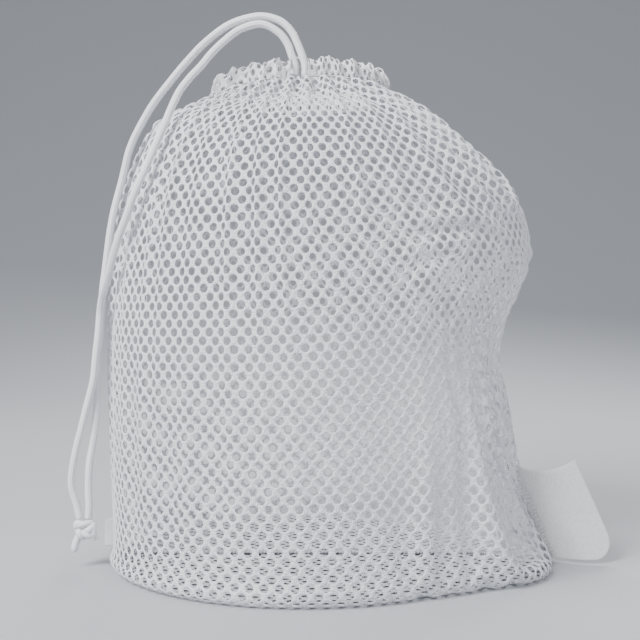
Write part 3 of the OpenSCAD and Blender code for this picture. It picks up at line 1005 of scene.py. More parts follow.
def perforation_tree() -> bpy.types.NodeTree:
    """Cells of mesh in staggered rows, laid from the flat cut onto the draped cloth."""
    tree = bpy.data.node_groups.new("perforated_cloth", "GeometryNodeTree")
    new_sockets(tree, "INPUT", {
        "Geometry": (GEOMETRY, None), "Draped Cloth": (OBJECT, None),
        "Holes Across": (INTEGER, 45), "Hole Rows": (INTEGER, 80), "Width": (FLOAT, 0.38),
        "Height": (FLOAT, 0.42), "Material": (MATERIAL, None)})
    new_sockets(tree, "OUTPUT", {"Geometry": (GEOMETRY, None)})
    b = TreeBuilder(tree)
    given = b.add("NodeGroupInput").outputs
    # Lattice of cell centres: every second row is moved by half a cell
    pitch = b.math("DIVIDE", given["Width"], given["Holes Across"])
    row = b.math("DIVIDE", given["Height"], given["Hole Rows"])
    across = b.math("ADD", given["Holes Across"], 1.0)
    upward = b.math("ADD", given["Hole Rows"], 1.0)
    lattice = b.add("GeometryNodeMeshGrid", {"Size X": given["Width"], "Size Y": given["Height"],
                                             "Vertices X": across, "Vertices Y": upward})
    index = b.add("GeometryNodeInputIndex").outputs[0]
    row_number = b.math("FLOORED_MODULO", index, upward)
    odd = b.math("FLOORED_MODULO", row_number, 2.0)
    shift = b.math("MULTIPLY", b.math("MULTIPLY", odd, pitch), 0.5)
    place = b.add("ShaderNodeCombineXYZ", {
        "X": b.math("ADD", shift, b.math("MULTIPLY", given["Width"], 0.5)),
        "Y": b.math("MULTIPLY", given["Height"], 0.5)})
    moved = b.add("GeometryNodeSetPosition", {"Geometry": lattice.outputs["Mesh"],
                                              "Offset": place.outputs[0]})
    size = b.add("ShaderNodeCombineXYZ", {"X": pitch, "Y": row, "Z": 1.0})
    cells = b.add("GeometryNodeInstanceOnPoints", {"Points": moved.outputs[0],
                                                   "Instance": given["Geometry"],
                                                   "Scale": size.outputs[0]})
    real = b.add("GeometryNodeRealizeInstances", {0: cells.outputs[0]})
    # Cells that cross the cut edge end there
    at = b.add("ShaderNodeSeparateXYZ", {0: b.add("GeometryNodeInputPosition").outputs[0]})
    flat = b.add("ShaderNodeCombineXYZ", {
        "X": b.math("MINIMUM", b.math("MAXIMUM", at.outputs["X"], 0.0), given["Width"]),
        "Y": b.math("MINIMUM", b.math("MAXIMUM", at.outputs["Y"], 0.0), given["Height"]),
        "Z": at.outputs["Z"]})
    cut = b.add("GeometryNodeSetPosition", {"Geometry": real.outputs[0],
                                            "Position": flat.outputs[0]})
    area = b.add("GeometryNodeInputMeshFaceArea").outputs[0]
    slim = b.add("FunctionNodeCompare", {0: area, 1: 1e-9}, operation="LESS_THAN")
    trimmed = b.add("GeometryNodeDeleteGeometry", {"Geometry": cut.outputs[0],
                                                   "Selection": slim.outputs[0]}, domain="FACE")
    welded = b.add("GeometryNodeMergeByDistance", {"Geometry": trimmed.outputs[0],
                                                   "Distance": 0.00002})
    # From the flat cut to the same place on the draped cloth, out by the cell's own height
    draped = b.add("GeometryNodeObjectInfo", {"Object": given["Draped Cloth"]},
                   transform_space="ORIGINAL").outputs["Geometry"]
    spot = b.add("ShaderNodeSeparateXYZ", {0: b.add("GeometryNodeInputPosition").outputs[0]})
    uv = []
    for axis, side in (("X", "Width"), ("Y", "Height")):
        share = b.math("DIVIDE", spot.outputs[axis], given[side])
        uv.append(b.math("MINIMUM", b.math("MAXIMUM", share, 0.00002), 0.99998))
    wanted = b.add("ShaderNodeCombineXYZ", {"X": uv[0], "Y": uv[1]}).outputs[0]
    cloth_uv = b.add("GeometryNodeInputNamedAttribute", {"Name": "cloth_uv"},
                     data_type="FLOAT_VECTOR").outputs[0]
    found = []
    for source in (b.add("GeometryNodeInputPosition").outputs[0],
                   b.add("GeometryNodeInputNamedAttribute", {"Name": "cloth_normal"},
                         data_type="FLOAT_VECTOR").outputs[0]):
        sample = b.add("GeometryNodeSampleUVSurface", data_type="FLOAT_VECTOR")
        tree.links.new(draped, sample.inputs["Mesh"])
        tree.links.new(source, sample.inputs["Value"])
        tree.links.new(cloth_uv, sample.inputs[2])
        tree.links.new(wanted, sample.inputs[3])
        found.append(sample)
    # Cells off a rounded cut are left out
    whole = b.add("GeometryNodeFieldOnDomain", {0: found[0].outputs["Is Valid"]},
                  data_type="BOOLEAN", domain="POINT")
    off = b.add("FunctionNodeBooleanMath", {0: whole.outputs[0]}, operation="NOT")
    kept = b.add("GeometryNodeDeleteGeometry", {"Geometry": welded.outputs[0],
                                                "Selection": off.outputs[0]}, domain="FACE")
    out = b.add("ShaderNodeVectorMath", {0: found[1].outputs[0]}, operation="SCALE")
    tree.links.new(spot.outputs["Z"], out.inputs["Scale"])
    target = b.vector("ADD", found[0].outputs[0], out.outputs[0])
    laid = b.add("GeometryNodeSetPosition", {"Geometry": kept.outputs[0], "Position": target})
    smooth = b.add("GeometryNodeSetShadeSmooth", {"Geometry": laid.outputs[0]})
    # The rims of the holes are crisp, so that the knit reads as flat bands
    bend = b.add("GeometryNodeInputMeshEdgeAngle").outputs["Unsigned Angle"]
    soft = b.add("FunctionNodeCompare", {0: bend, 1: 1.4}, operation="LESS_THAN")
    crisp = b.add("GeometryNodeSetShadeSmooth", {"Geometry": smooth.outputs[0],
                                                 "Shade Smooth": soft.outputs[0]},
                  domain="EDGE")
    dressed = b.add("GeometryNodeSetMaterial", {"Geometry": crisp.outputs[0],
                                                "Material": given["Material"]})
    end = b.add("NodeGroupOutput")
    tree.links.new(dressed.outputs[0], end.inputs[0])
    return tree


def thread_tree() -> bpy.types.NodeTree:
    """Copies of one stitch or loop of thread at equal steps along a line."""
    tree = bpy.data.node_groups.new("thread_run", "GeometryNodeTree")
    new_sockets(tree, "INPUT", {
        "Geometry": (GEOMETRY, None), "Stitch": (OBJECT, None), "Spacing": (FLOAT, 0.003),
        "Jitter": (FLOAT, 0.15), "Material": (MATERIAL, None)})
    new_sockets(tree, "OUTPUT", {"Geometry": (GEOMETRY, None)})
    b = TreeBuilder(tree)
    given = b.add("NodeGroupInput").outputs
    line = b.add("GeometryNodeMeshToCurve", {0: given["Geometry"]})
    points = b.add("GeometryNodeCurveToPoints", {"Curve": line.outputs[0],
                                                 "Length": given["Spacing"]}, mode="LENGTH")
    outward = b.add("GeometryNodeInputNamedAttribute", {"Name": "outward"},
                    data_type="FLOAT_VECTOR").outputs[0]
    lengthways = b.add("FunctionNodeAlignRotationToVector",
                       {"Vector": points.outputs["Tangent"]}, axis="X")
    facing = b.add("FunctionNodeAlignRotationToVector",
                   {"Rotation": lengthways.outputs[0], "Vector": outward},
                   axis="Z", pivot_axis="X")
    low = b.math("SUBTRACT", 1.0, given["Jitter"])
    high = b.math("ADD", 1.0, given["Jitter"])
    size = b.add("FunctionNodeRandomValue", {2: low, 3: high, "Seed": 7}, data_type="FLOAT")
    copies = b.add("GeometryNodeInstanceOnPoints", {
        "Points": points.outputs["Points"],
        "Instance": b.add("GeometryNodeObjectInfo", {"Object": given["Stitch"]},
                          transform_space="ORIGINAL").outputs["Geometry"],
        "Rotation": facing.outputs[0], "Scale": size.outputs[1]})
    real = b.add("GeometryNodeRealizeInstances", {0: copies.outputs[0]})
    smooth = b.add("GeometryNodeSetShadeSmooth", {"Geometry": real.outputs[0]})
    dressed = b.add("GeometryNodeSetMaterial", {"Geometry": smooth.outputs[0],
                                                "Material": given["Material"]})
    end = b.add("NodeGroupOutput")
    tree.links.new(dressed.outputs[0], end.inputs[0])
    return tree


def mesh_cell(thickness: float, hole_width: float, hole_height: float) -> bpy.types.Object:
    """One cell of the mesh, sized 1 by 1 in pitch: a hexagon of yarn round an oval hole.

    Args:
        thickness: Thickness of the yarn, in metres.
        hole_width: Width of the hole as a share of the pitch across.
        hole_height: Height of the hole as a share of the row pitch.

    Returns:
        The cell as an object, to be removed by the tree that uses it.
    """
    side = 1 / 6
    corners = [(0.5, side), (0, 1 - side), (-0.5, side), (-0.5, -side), (0, side - 1),
               (0.5, -side)]
    outline = []
    for (x0, y0), (x1, y1) in zip(corners, corners[1:] + corners[:1]):
        outline.append((x0, y0))
        if x0 != x1:
            outline.append(((x0 + x1) / 2, (y0 + y1) / 2))
    n = len(outline)
    # Even steps round the oval keep its edge round
    turns = [TAU * (k + 0.5) / n for k in range(n)]
    hole = [(hole_width / 2 * math.cos(a), hole_height / 2 * math.sin(a), 0.0) for a in turns]
    top = [(x, y, thickness / 2) for x, y in outline]
    foot = [(x, y, -thickness / 2) for x, y in outline]
    faces = []
    for k in range(n):
        m = (k + 1) % n
        faces += [(k, n + k, n + m, m), (m, 2 * n + m, 2 * n + k, k)]
    return mesh_object("cell", np.array(hole + top + foot), faces)


def ring_of_thread(half_width: float, half_height: float, thickness: float, lean: float,
                   steps: int = 12, sides: int = 5) -> bpy.types.Object:
    """A closed loop of thread that wraps a seam, across its line.

    Args:
        half_width: Half the loop's size across the seam.
        half_height: Half its size square to the cloth.
        thickness: Thickness of the thread.
        lean: How far the loop leans along the seam.
        steps: Points round the loop.
        sides: Points round the thread.

    Returns:
        The loop as an object.
    """
    turn = np.arange(steps) / steps * TAU
    centre = np.stack([lean * np.sin(turn), half_width * np.cos(turn),
                       half_height * np.sin(turn)], axis=1)
    out = np.stack([np.zeros(steps), np.cos(turn), np.sin(turn)], axis=1)
    points = []
    for c, o in zip(centre, out):
        for k in range(sides):
            a = k / sides * TAU
            points.append(c + thickness / 2 * (math.cos(a) * o + math.sin(a) * np.array([-1, 0, 0])))
    faces = [(r * sides + c, r * sides + (c + 1) % sides,
              ((r + 1) % steps) * sides + (c + 1) % sides, ((r + 1) % steps) * sides + c)
             for r in range(steps) for c in range(sides)]
    return mesh_object("loop", np.array(points), faces)


def stitch_bar(length: float, width: float, height: float) -> bpy.types.Object:
    """One stitch of thread, a rounded bar that dips into the cloth at its ends.

    Args:
        length: Length along the seam.
        width: Width across it.
        height: How far it stands off the cloth.

    Returns:
        The stitch as an object.
    """
    steps, sides = 7, 6
    points = []
    for r in range(steps):
        t = r / (steps - 1)
        lift = height * math.sin(math.pi * t)
        fat = math.sqrt(max(1 - (2 * t - 1) ** 2, 0.05))
        for k in range(sides):
            a = k / sides * TAU
            points.append(((t - 0.5) * length, width / 2 * fat * math.cos(a),
                           lift - height * 0.3 + width * 0.42 * fat * math.sin(a)))
    faces = grid_faces(steps, sides, wrap=True)
    faces += [tuple(range(sides))[::-1], tuple((steps - 1) * sides + k for k in range(sides))]
    faces = [tuple(reversed(f)) for f in faces]
    return mesh_object("stitch", np.array(points), faces)


def thread_line(points: Array, outward: Array) -> bpy.types.Object:
    """A line for threads to follow, with the direction that faces out of the cloth.

    Args:
        points: The line.
        outward: Direction out of the cloth at each point.

    Returns:
        The line as an object.
    """
    mesh = bpy.data.meshes.new("line")
    edges = [(i, i + 1) for i in range(len(points) - 1)]
    mesh.from_pydata([tuple(p) for p in points], edges, [])
    layer = mesh.attributes.new("outward", "FLOAT_VECTOR", "POINT")
    layer.data.foreach_set("vector", np.asarray(outward, np.float32).ravel())
    return link(bpy.data.objects.new("line", mesh))


def stitched(points: Array, outward: Array, stitch: bpy.types.Object, spacing: float,
             jitter: float, material: bpy.types.Material, name: str) -> bpy.types.Object:
    """Lays copies of one stitch along a line.

    Args:
        points: Points of the line.
        outward: Direction out of the cloth at each point.
        stitch: The stitch that is copied, which is removed.
        spacing: Distance between two stitches.
        jitter: How uneven the stitches are.
        material: The thread's finish.
        name: Name of the run.

    Returns:
        The run of stitches.
    """
    run = applied(thread_line(points, outward), bpy.data.node_groups["thread_run"], {
        "Stitch": stitch, "Spacing": spacing, "Jitter": jitter, "Material": material}, name)
    bpy.data.objects.remove(stitch)
    return run


def joined(name: str, parts: list) -> bpy.types.Object:
    """Joins objects into the first and names the result."""
    if len(parts) > 1:
        with bpy.context.temp_override(active_object=parts[0], selected_editable_objects=parts):
            bpy.ops.object.join()
    parts[0].name = name
    parts[0].data.name = name
    return parts[0]


# ---- Pieces of cloth ----------------------------------------------------------------------


def draped_surface(points: Array, u: Array, v: Array) -> bpy.types.Object:
    """A smooth surface that carries flat cloth coordinates and its normals.

    Args:
        points: Points by row and column.
        u: Flat place of each column, from 0 to 1.
        v: Flat place of each row, or of each row and column, from 0 to 1.

    Returns:
        The surface as an object.
    """
    rows, cols = points.shape[:2]
    obj = mesh_object("surface", points.reshape(-1, 3), grid_faces(rows, cols))
    du, dv = np.gradient(points, axis=1), np.gradient(points, axis=0)
    normal = np.cross(du, dv)
    normal /= np.linalg.norm(normal, axis=2, keepdims=True) + 1e-12
    layer = obj.data.attributes.new("cloth_normal", "FLOAT_VECTOR", "POINT")
    layer.data.foreach_set("vector", normal.astype(np.float32).ravel())
    r, c = np.meshgrid(np.arange(rows - 1), np.arange(cols - 1), indexing="ij")
    corners = [(r, c), (r, c + 1), (r + 1, c + 1), (r + 1, c)]
    up = v if v.ndim == 2 else np.repeat(v[:, None], cols, axis=1)
    uv = np.stack([np.stack([u[b], up[a, b]], axis=-1) for a, b in corners], axis=2)
    layer = obj.data.uv_layers.new(name="cloth_uv")
    layer.data.foreach_set("uv", uv.astype(np.float32).ravel())
    obj.hide_render = True
    return obj


@dataclass
class MeshCloth:
    """Perforated knitted mesh: its hole pattern and how it is laid on a draped surface."""

    pitch: float = 0.0079
    row_pitch: float = 0.0046
    hole_width: float = 0.59
    hole_height: float = 1.03
    thickness: float = 0.0011
    # It is an assumed figure that no measure bears out: the panels' cut outline is 0.90 of
    # it, and a cell is 0.55 cloth
    declared_share: float = 0.78
    tree: bpy.types.NodeTree = field(default_factory=perforation_tree)

    def lay(self, name: str, surface: bpy.types.Object, width: float, height: float,
            material: bpy.types.Material) -> bpy.types.Object:
        """Perforates a draped surface.

        Args:
            name: Name of the piece.
            surface: The draped surface, which is removed.
            width: Width of the flat cut.
            height: Height of the flat cut.
            material: The cloth's finish.

        Returns:
            The perforated piece.
        """
        cell = mesh_cell(self.thickness, self.hole_width, self.hole_height)
        across, rows = round(width / self.pitch), round(height / self.row_pitch)
        piece = applied(cell, self.tree, {
            "Draped Cloth": surface, "Holes Across": across, "Hole Rows": rows, "Width": width,
            "Height": height, "Material": material}, name)
        bpy.data.objects.remove(surface)
        return piece


@dataclass
class PouchPanels:
    """The front and back panels, cut from mesh and joined along their sides and bottom."""

    pouch: Pouch
    cloth: MeshCloth
    finish: bpy.types.Material
    blend_start: float = 0.215
    blend_end: float = 0.279
    floor_reach: float = 0.110  # Cloth from the bottom seam to the edge of the base
    replaced: dict = field(default_factory=lambda: {
        Side.FRONT: ("front_panel", "corner_fold_right"),
        Side.BACK: ("back_panel", "corner_fold_left")})

    def flat_rows(self, grid: Array, factor: int) -> Array:
        """Flat place of each point of the finer grid: less floor towards the side seams.

        Args:
            grid: The finer grid, by row and column.
            factor: Steps between two draped rows.

        Returns:
            Heights on the cut from 0 to 1, by row and column.
        """
        edge = self.pouch.floor_rows * factor
        wall = (self.pouch.panel_height - self.floor_reach) / self.pouch.panel_height
        across = np.linalg.norm(grid[edge] - grid[0], axis=1) / self.pouch.panel_height
        at = np.arange(len(grid))[:, None]
        floor = np.minimum(at / edge, 1) - 1
        rise = np.maximum(at - edge, 0) / (len(grid) - 1 - edge)
        return np.clip(1 - wall + floor * across[None, :] + rise * wall, 0, 1)

    def build(self) -> list:
        """Makes both panels.

        Returns:
            The front and back pieces.
        """
        factor = 2
        grid = self.pouch.smooth_grid(factor)
        half = self.pouch.columns * factor
        v = self.flat_rows(grid, factor)
        made = []
        for side in Side:
            columns = slice(0, half + 1) if side is Side.FRONT else slice(half, None)
            part = grid[:, columns]
            u = np.linspace(0, 1, part.shape[1])
            name = f"{side.name.lower()}_mesh_panel"
            piece = self.cloth.lay(name, draped_surface(part, u, v[:, columns]),
                                   self.pouch.panel_width,
                                   self.pouch.panel_height, self.finish)
            self.declare(piece, side)
            made.append(piece)
        return made

    def declare(self, piece: bpy.types.Object, side: Side) -> None:
        """Hides the frame's parts that the panel stands for and bakes the panel's transform."""
        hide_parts(*self.replaced[side])
        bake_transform(piece)


@dataclass
class GatheredChannel:
    """The hem at the mouth: mesh folded over the cord, drawn up into ruffles and stitched."""

    mouth: MouthRing
    cloth: MeshCloth
    finish: bpy.types.Material
    thread: bpy.types.Material
    ruffle: float = 0.0030
    swell: float = 0.0008
    gap_share: float = 0.80
    inner_from: int = 5
    section_rows: int = 26
    flat_height: float = 0.0416
    panel_width: float = 0.380
    stitch_height: float = 0.34
    # Section of the folded cloth: in from the outer face and up, as shares of width and height
    section: tuple = ((0.30, 0.00), (0.04, 0.14), (-0.02, 0.34), (0.02, 0.62), (0.14, 0.86),
                      (0.36, 1.02), (0.58, 1.02), (0.80, 0.88), (0.94, 0.64), (0.98, 0.34),
                      (0.90, 0.14), (0.66, 0.02))

    @property
    def way_out(self) -> tuple:
        """Angles between which the channel is open for the cord."""
        gap_turn = self.mouth.gap_turn(self.gap_share)
        return self.mouth.exit_turn - gap_turn, self.mouth.exit_turn + gap_turn

    def surface(self, first: float, last: float, section: tuple) -> Array:
        """Points of the ruffled channel between two angles, by section row and column."""
        cols = max(12, int((last - first) / TAU * 760))
        turn = np.linspace(first, last, cols)
        line = resample(spline([(a * self.mouth.width, b * self.mouth.height)
                                for a, b in section], 6), self.section_rows)
        rows = []
        for inward, up in line:
            rise = up / self.mouth.height
            inner = inward / self.mouth.width
            # Ruffles are held at the stitches and stand free above and below them
            held = 0.40 + 0.60 * min(1.0, abs(rise - self.stitch_height) / 0.40)
            wave = self.ruffle * held * (1 - 0.62 * inner)
            out = inward - self.swell * (1 - inner)
            ring = self.mouth.point(turn, np.full(cols, out), np.full(cols, up), wave)
            crimp = 0.0022 * max(0.0, rise - 0.45)
            ring[:, 2] += crimp * np.sin(0.53 * self.mouth.phase(turn) + 0.8)
            ring[:, 2] += 0.5 * crimp * np.sin(1.7 * self.mouth.phase(turn) + 3 * rise)
            rows.append(ring)
        return np.array(rows)

    def spans(self, side: Side) -> list:
        """Angles between which a half of the channel runs."""
        if side is Side.BACK:
            return [(0.0, math.pi)]
        return [(-math.pi, self.way_out[0]), (self.way_out[1], 0.0)]

    def build(self) -> list:
        """Makes the two halves of the channel and their stitches.

        Returns:
            The pieces.
        """
        made = []
        for side in Side:
            parts = []
            lengths = [(span, self.section, 1.0) for span in self.spans(side)]
            if side is Side.FRONT:
                # Behind the cord's way out only the inner wall runs on
                lengths.append((self.way_out, self.section[self.inner_from:], 0.5))
            for (first, last), section, share in lengths:
                points = self.surface(first, last, section)
                width = self.panel_width * (last - first) / math.pi
                u, v = (np.linspace(0, 1, n) for n in (points.shape[1], points.shape[0]))
                parts.append(self.cloth.lay("span", draped_surface(points, u, v), width,
                                            self.flat_height * share, self.finish))
            name = side.name.lower()
            piece = joined(f"{name}_channel_hem", parts)
            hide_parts(f"channel_{name}")
            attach(piece, Body.NECK.value)
            made.append(piece)
        made.append(self.stitches())
        return made

    def stitches(self) -> bpy.types.Object:
        """Run of lockstitches round the channel, below the cord."""
        runs = []
        for low in (self.stitch_height, self.stitch_height + 0.075):
            for first, last in self.spans(Side.FRONT) + self.spans(Side.BACK):
                turn = np.linspace(first + 0.03, last - 0.03, int((last - first) / TAU * 420))
                n = len(turn)
                points = self.mouth.point(turn, np.full(n, -0.0022),
                                          np.full(n, low * self.mouth.height), 0.0018)
                outward = np.stack([np.cos(turn), np.sin(turn), np.zeros(n)], axis=1)
                stitch = stitch_bar(0.0026, 0.0007, 0.0006)
                runs.append(stitched(points, outward, stitch, 0.0031, 0.08, self.thread, "run"))
        piece = joined("channel_lockstitches", runs)
        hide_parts("channel_stitching")
        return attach(piece, Body.NECK.value)


@dataclass
class Seams:
    """Overlocked seams: folded edges of mesh inside a chain of thread loops."""

    pouch: Pouch
    mouth: MouthRing
    thread: bpy.types.Material
    edge: bpy.types.Material
    tape_width: float = 0.0036
    tape_height: float = 0.0016
    loop_spacing: float = 0.0021
    inward: float = 0.0012
    blend_start: float = PouchPanels.blend_start
    blend_end: float = PouchPanels.blend_end

    def line(self, column: int) -> tuple:
        """Line of a side seam and the direction out of the cloth along it."""
        path = spline(self.pouch.grid[self.pouch.floor_rows:, column], 2)
        path = resample(path, 150)
        outward = path * np.array([1.0, 1.0, 0.0])
        outward /= np.linalg.norm(outward, axis=1)[:, None]
        rise = np.gradient(path, axis=0)
        rise /= np.linalg.norm(rise, axis=1)[:, None]
        outward -= rise * (outward * rise).sum(axis=1)[:, None]
        outward /= np.linalg.norm(outward, axis=1)[:, None]
        path = path - outward * self.inward
        path[:, 2] = np.maximum(path[:, 2], 0.0026)
        return path, outward

    def tape(self, path: Array, outward: Array) -> bpy.types.Object:
        """Doubled edge of the mesh, a flat strip with rounded sides along the seam."""
        sides = 8
        rise = np.gradient(path, axis=0)
        rise /= np.linalg.norm(rise, axis=1)[:, None]
        across = np.cross(rise, outward)
        turn = np.arange(sides) / sides * TAU
        wander = 1 + 0.10 * np.sin(np.arange(len(path)) * 1.9)
        points = (path[:, None] + np.cos(turn)[None, :, None] * across[:, None]
                  * (self.tape_width / 2 * wander)[:, None, None]
                  + np.sin(turn)[None, :, None] * outward[:, None] * self.tape_height / 2)
        n = len(path)
        faces = grid_faces(n, sides, wrap=True)
        faces += [tuple(range(sides))[::-1], tuple((n - 1) * sides + k for k in range(sides))]
        obj = mesh_object("tape", points.reshape(-1, 3), faces)
        obj.data.materials.append(self.edge)
        return obj

    def chain(self, path: Array, outward: Array) -> bpy.types.Object:
        """Thread loops round the strip."""
        loop = ring_of_thread(self.tape_width * 0.60, self.tape_height * 0.72, 0.00050, 0.0008)
        return stitched(path, outward, loop, self.loop_spacing, 0.06, self.thread, "chain")

    def build(self) -> list:
        """Makes the side seams and the bottom seam.

        Returns:
            The pieces.
        """
        made = []
        for name, column in (("left", 0), ("right", self.pouch.columns)):
            path, outward = self.line(column)
            piece = joined(f"{name}_side_overlock", [self.tape(path, outward),
                                                     self.chain(path, outward)])
            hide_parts(f"side_seam_{name}")
            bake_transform(piece)
            made.append(piece)
        made.append(self.bottom())
        return made

    def bottom(self) -> bpy.types.Object:
        """The seam across the base, inside the pouch."""
        low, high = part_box("bottom_seam")
        x = np.linspace(low.x + 0.004, high.x - 0.004, 90)
        z = self.tape_height * 0.72 + 0.0012
        path = np.stack([x, np.zeros_like(x), np.full_like(x, z)], axis=1)
        outward = np.tile([0.0, 0.0, 1.0], (len(x), 1))
        piece = joined("bottom_overlock", [self.tape(path, outward), self.chain(path, outward)])
        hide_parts("bottom_seam")
        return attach(piece, Body.BAG.value)


# ---- Drawcord -----------------------------------------------------------------------------


@dataclass
class Drawcord:
    """The braided cord: its loop in the channel, two free strands, the knot and both ends."""

    mouth: MouthRing
    finish: bpy.types.Material
    thread: bpy.types.Material
    diameter: float = 0.0043
    sides: int = 20
    per_span: int = 8
    hinge: tuple = (-0.1205, -0.0275, 0.1518)
    bend_reach: float = 0.017
    outer: tuple = (
        (0, -38.5, 287), (0, -38.5, 293), (-2, -38.5, 299.5), (-4.5, -38, 306),
        (-8, -37.5, 313), (-14.5, -37, 319), (-25, -36, 322), (-36, -35, 320.5),
        (-45, -34.5, 317), (-52.5, -34, 312), (-60.5, -33, 305.5), (-67, -32, 299),
        (-73.5, -31, 292), (-79.5, -30, 285), (-85, -29, 278.5), (-90, -28, 272),
        (-94.5, -27, 265), (-98.5, -26.5, 258), (-102, -26, 251), (-104.5, -26, 244),
        (-106.5, -25.5, 236), (-108.5, -25, 228), (-111, -25, 219), (-113.5, -25, 209),
        (-115.5, -25, 198), (-117, -25, 187), (-118.5, -25, 175), (-120, -25, 163),
        (-121.5, -25, 138), (-123, -25, 125), (-124, -25, 111), (-123.5, -25.5, 97),
        (-124.5, -26, 83), (-126, -27, 72), (-127.5, -28, 61), (-128, -28.5, 48),
        (-127.5, -29, 37), (-128, -29, 29))
    inner: tuple = (
        (-6, -38.5, 287), (-6, -38.5, 293), (-8, -38.5, 299.5), (-10.5, -38.5, 306),
        (-15.5, -39, 312), (-25, -39.5, 316.5), (-37, -40, 313.5), (-47, -40.5, 306),
        (-54, -41, 299), (-59.5, -42, 292), (-65.5, -44, 285), (-71, -46.5, 277),
        (-74.5, -50, 268.5), (-77.5, -53.5, 259.5), (-81, -56.5, 250), (-84.5, -58.5, 241),
        (-88, -60, 232), (-91.5, -60.5, 224), (-95.5, -60, 215), (-99, -58.5, 205.5),
        (-103.5, -55.5, 195.5), (-107.5, -52, 185.5), (-111, -47.5, 175.5), (-115, -41, 166),
        (-118.5, -34.5, 158.5), (-120.5, -30.5, 150), (-121.5, -30.5, 138),
        (-123, -30.5, 125), (-124.5, -30.5, 111), (-128, -30.5, 97), (-131.5, -30.5, 83),
        (-135, -30.5, 69), (-137.5, -30, 55), (-137.5, -29.5, 47), (-135, -29, 38),
        (-133, -29, 29))
    knot_centre: tuple = (-0.1305, -0.029, 0.0225)
    stub: tuple = ((-0.1335, -0.029, 0.019), (-0.3, -0.05, -1.0), 0.010)
    frayed: tuple = ((-0.1245, -0.0305, 0.026), (0.1, -0.1, -1.0), 0.009)

    def strand(self, name: str, route: tuple, replaced: tuple, pieces: list) -> bpy.types.Object:
        """One free strand, from the channel to the knot.

        Args:
            name: Name of the piece.
            route: Its route, in millimetres.
            replaced: CAD nodes that it stands for.
            pieces: Pieces on its far end; not used.

        Returns:
            The strand.
        """
        points = np.array(route) / 1000
        path = spline(points, self.per_span)
        piece = tube(name, path, np.full(len(path), self.diameter / 2), self.sides)
        piece.data.materials.append(self.finish)
        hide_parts(*replaced)
        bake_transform(piece)
        LOG.info("%s is %.3f m long", name, path_length(path))
        return piece

    def knot(self) -> bpy.types.Object:
        """Overhand knot of the two strands, drawn tight, with a collar turn round them."""
        turn = np.linspace(0, TAU, 121)
        cx, cy, cz = self.knot_centre
        body = np.stack([cx + 0.00175 * (np.sin(turn) + 1.9 * np.sin(2 * turn)),
                         cy - 0.0026 * np.sin(3 * turn),
                         cz + 0.0009 + 0.00160 * (np.cos(turn) - 1.9 * np.cos(2 * turn))], axis=1)
        radii = self.diameter / 2 * (1 + 0.05 * np.sin(5 * turn))
        parts = [tube("turn", body, radii, self.sides)]
        around = np.linspace(0, TAU, 61)
        collar = np.stack([cx + 0.0044 * np.cos(around), cy + 0.0030 * np.sin(around),
                           cz + 0.0030 + 0.0013 * np.cos(around + 0.7)], axis=1)
        parts.append(tube("collar", collar, np.full(61, self.diameter * 0.44), self.sides))
        slant = np.stack([cx + 0.0040 * np.cos(around + 0.4), cy + 0.0029 * np.sin(around),
                          cz - 0.0022 - 0.0016 * np.cos(around)], axis=1)
        parts.append(tube("second_collar", slant, np.full(61, self.diameter * 0.43), self.sides))
        piece = joined("overhand_knot", parts)
        piece.data.materials.append(self.finish)
        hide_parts("drawcord_knot")
        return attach(piece, Body.CORD_TAIL.value)

    def end(self, name: str, place: tuple, shares: tuple, replaced: str) -> bpy.types.Object:
        """A short cord end that leaves the knot.

        Args:
            name: Name of the piece.
            place: Where it starts, its direction and its length.
            shares: Radius along it, as shares of the cord's.
            replaced: CAD node that it stands for.

        Returns:
            The end.
        """
        start, direction, length = place
        along = np.array(direction) / np.linalg.norm(direction)
        t = np.linspace(-0.12, 1.0, 22)
        bow = 0.0006 * np.sin(math.pi * np.clip(t, 0, 1))
        path = np.array(start) + t[:, None] * along * length + bow[:, None] * np.array([-1, 0, 0])
        radii = self.diameter / 2 * np.interp(t, np.linspace(0, 1, len(shares)), shares)
        piece = tube(name, path, radii, self.sides)
        piece.data.materials.append(self.finish)
        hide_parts(replaced)
        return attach(piece, Body.CORD_TAIL.value)

    def fray(self) -> bpy.types.Object:
        """Loose filaments at the frayed end."""
        start, direction, length = self.frayed
        along = np.array(direction) / np.linalg.norm(direction)
        rng = np.random.default_rng(5)
        parts = []
        for _ in range(26):
            spread = rng.normal(0, 1, 3)
            spread -= along * spread.dot(along)
            spread /= np.linalg.norm(spread)
            root = np.array(start) + along * length * 0.45 + spread * 0.0011 * rng.random()
            t = np.linspace(0, 1, 6)
            reach = length * (0.40 + 0.22 * rng.random())
            lean = 0.0012 + 0.0012 * rng.random()
            path = root + t[:, None] * along * reach + (t**2)[:, None] * spread * lean
            parts.append(tube("filament", path, np.linspace(0.00028, 0.00016, 6), 5))
        piece = joined("frayed_filaments", parts)
        piece.data.materials.append(self.finish)
        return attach(piece, Body.CORD_TAIL.value)

    def loop(self) -> bpy.types.Object:
        """The cord inside the channel, round from one side of the exit to the other."""
        hem_turn, exit_turn = self.mouth.gap_turn(), self.mouth.exit_turn
        turn = np.linspace(exit_turn + hem_turn * 0.35, exit_turn + TAU - hem_turn * 0.35, 200)
        n = len(turn)
        path = self.mouth.point(turn, np.full(n, self.mouth.width / 2),
                                np.full(n, self.mouth.height * 0.55))
        piece = tube("drawcord_in_channel", path, np.full(n, self.diameter / 2), 14)
        piece.data.materials.append(self.finish)
        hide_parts("drawcord_loop")
        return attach(piece, Body.NECK.value)

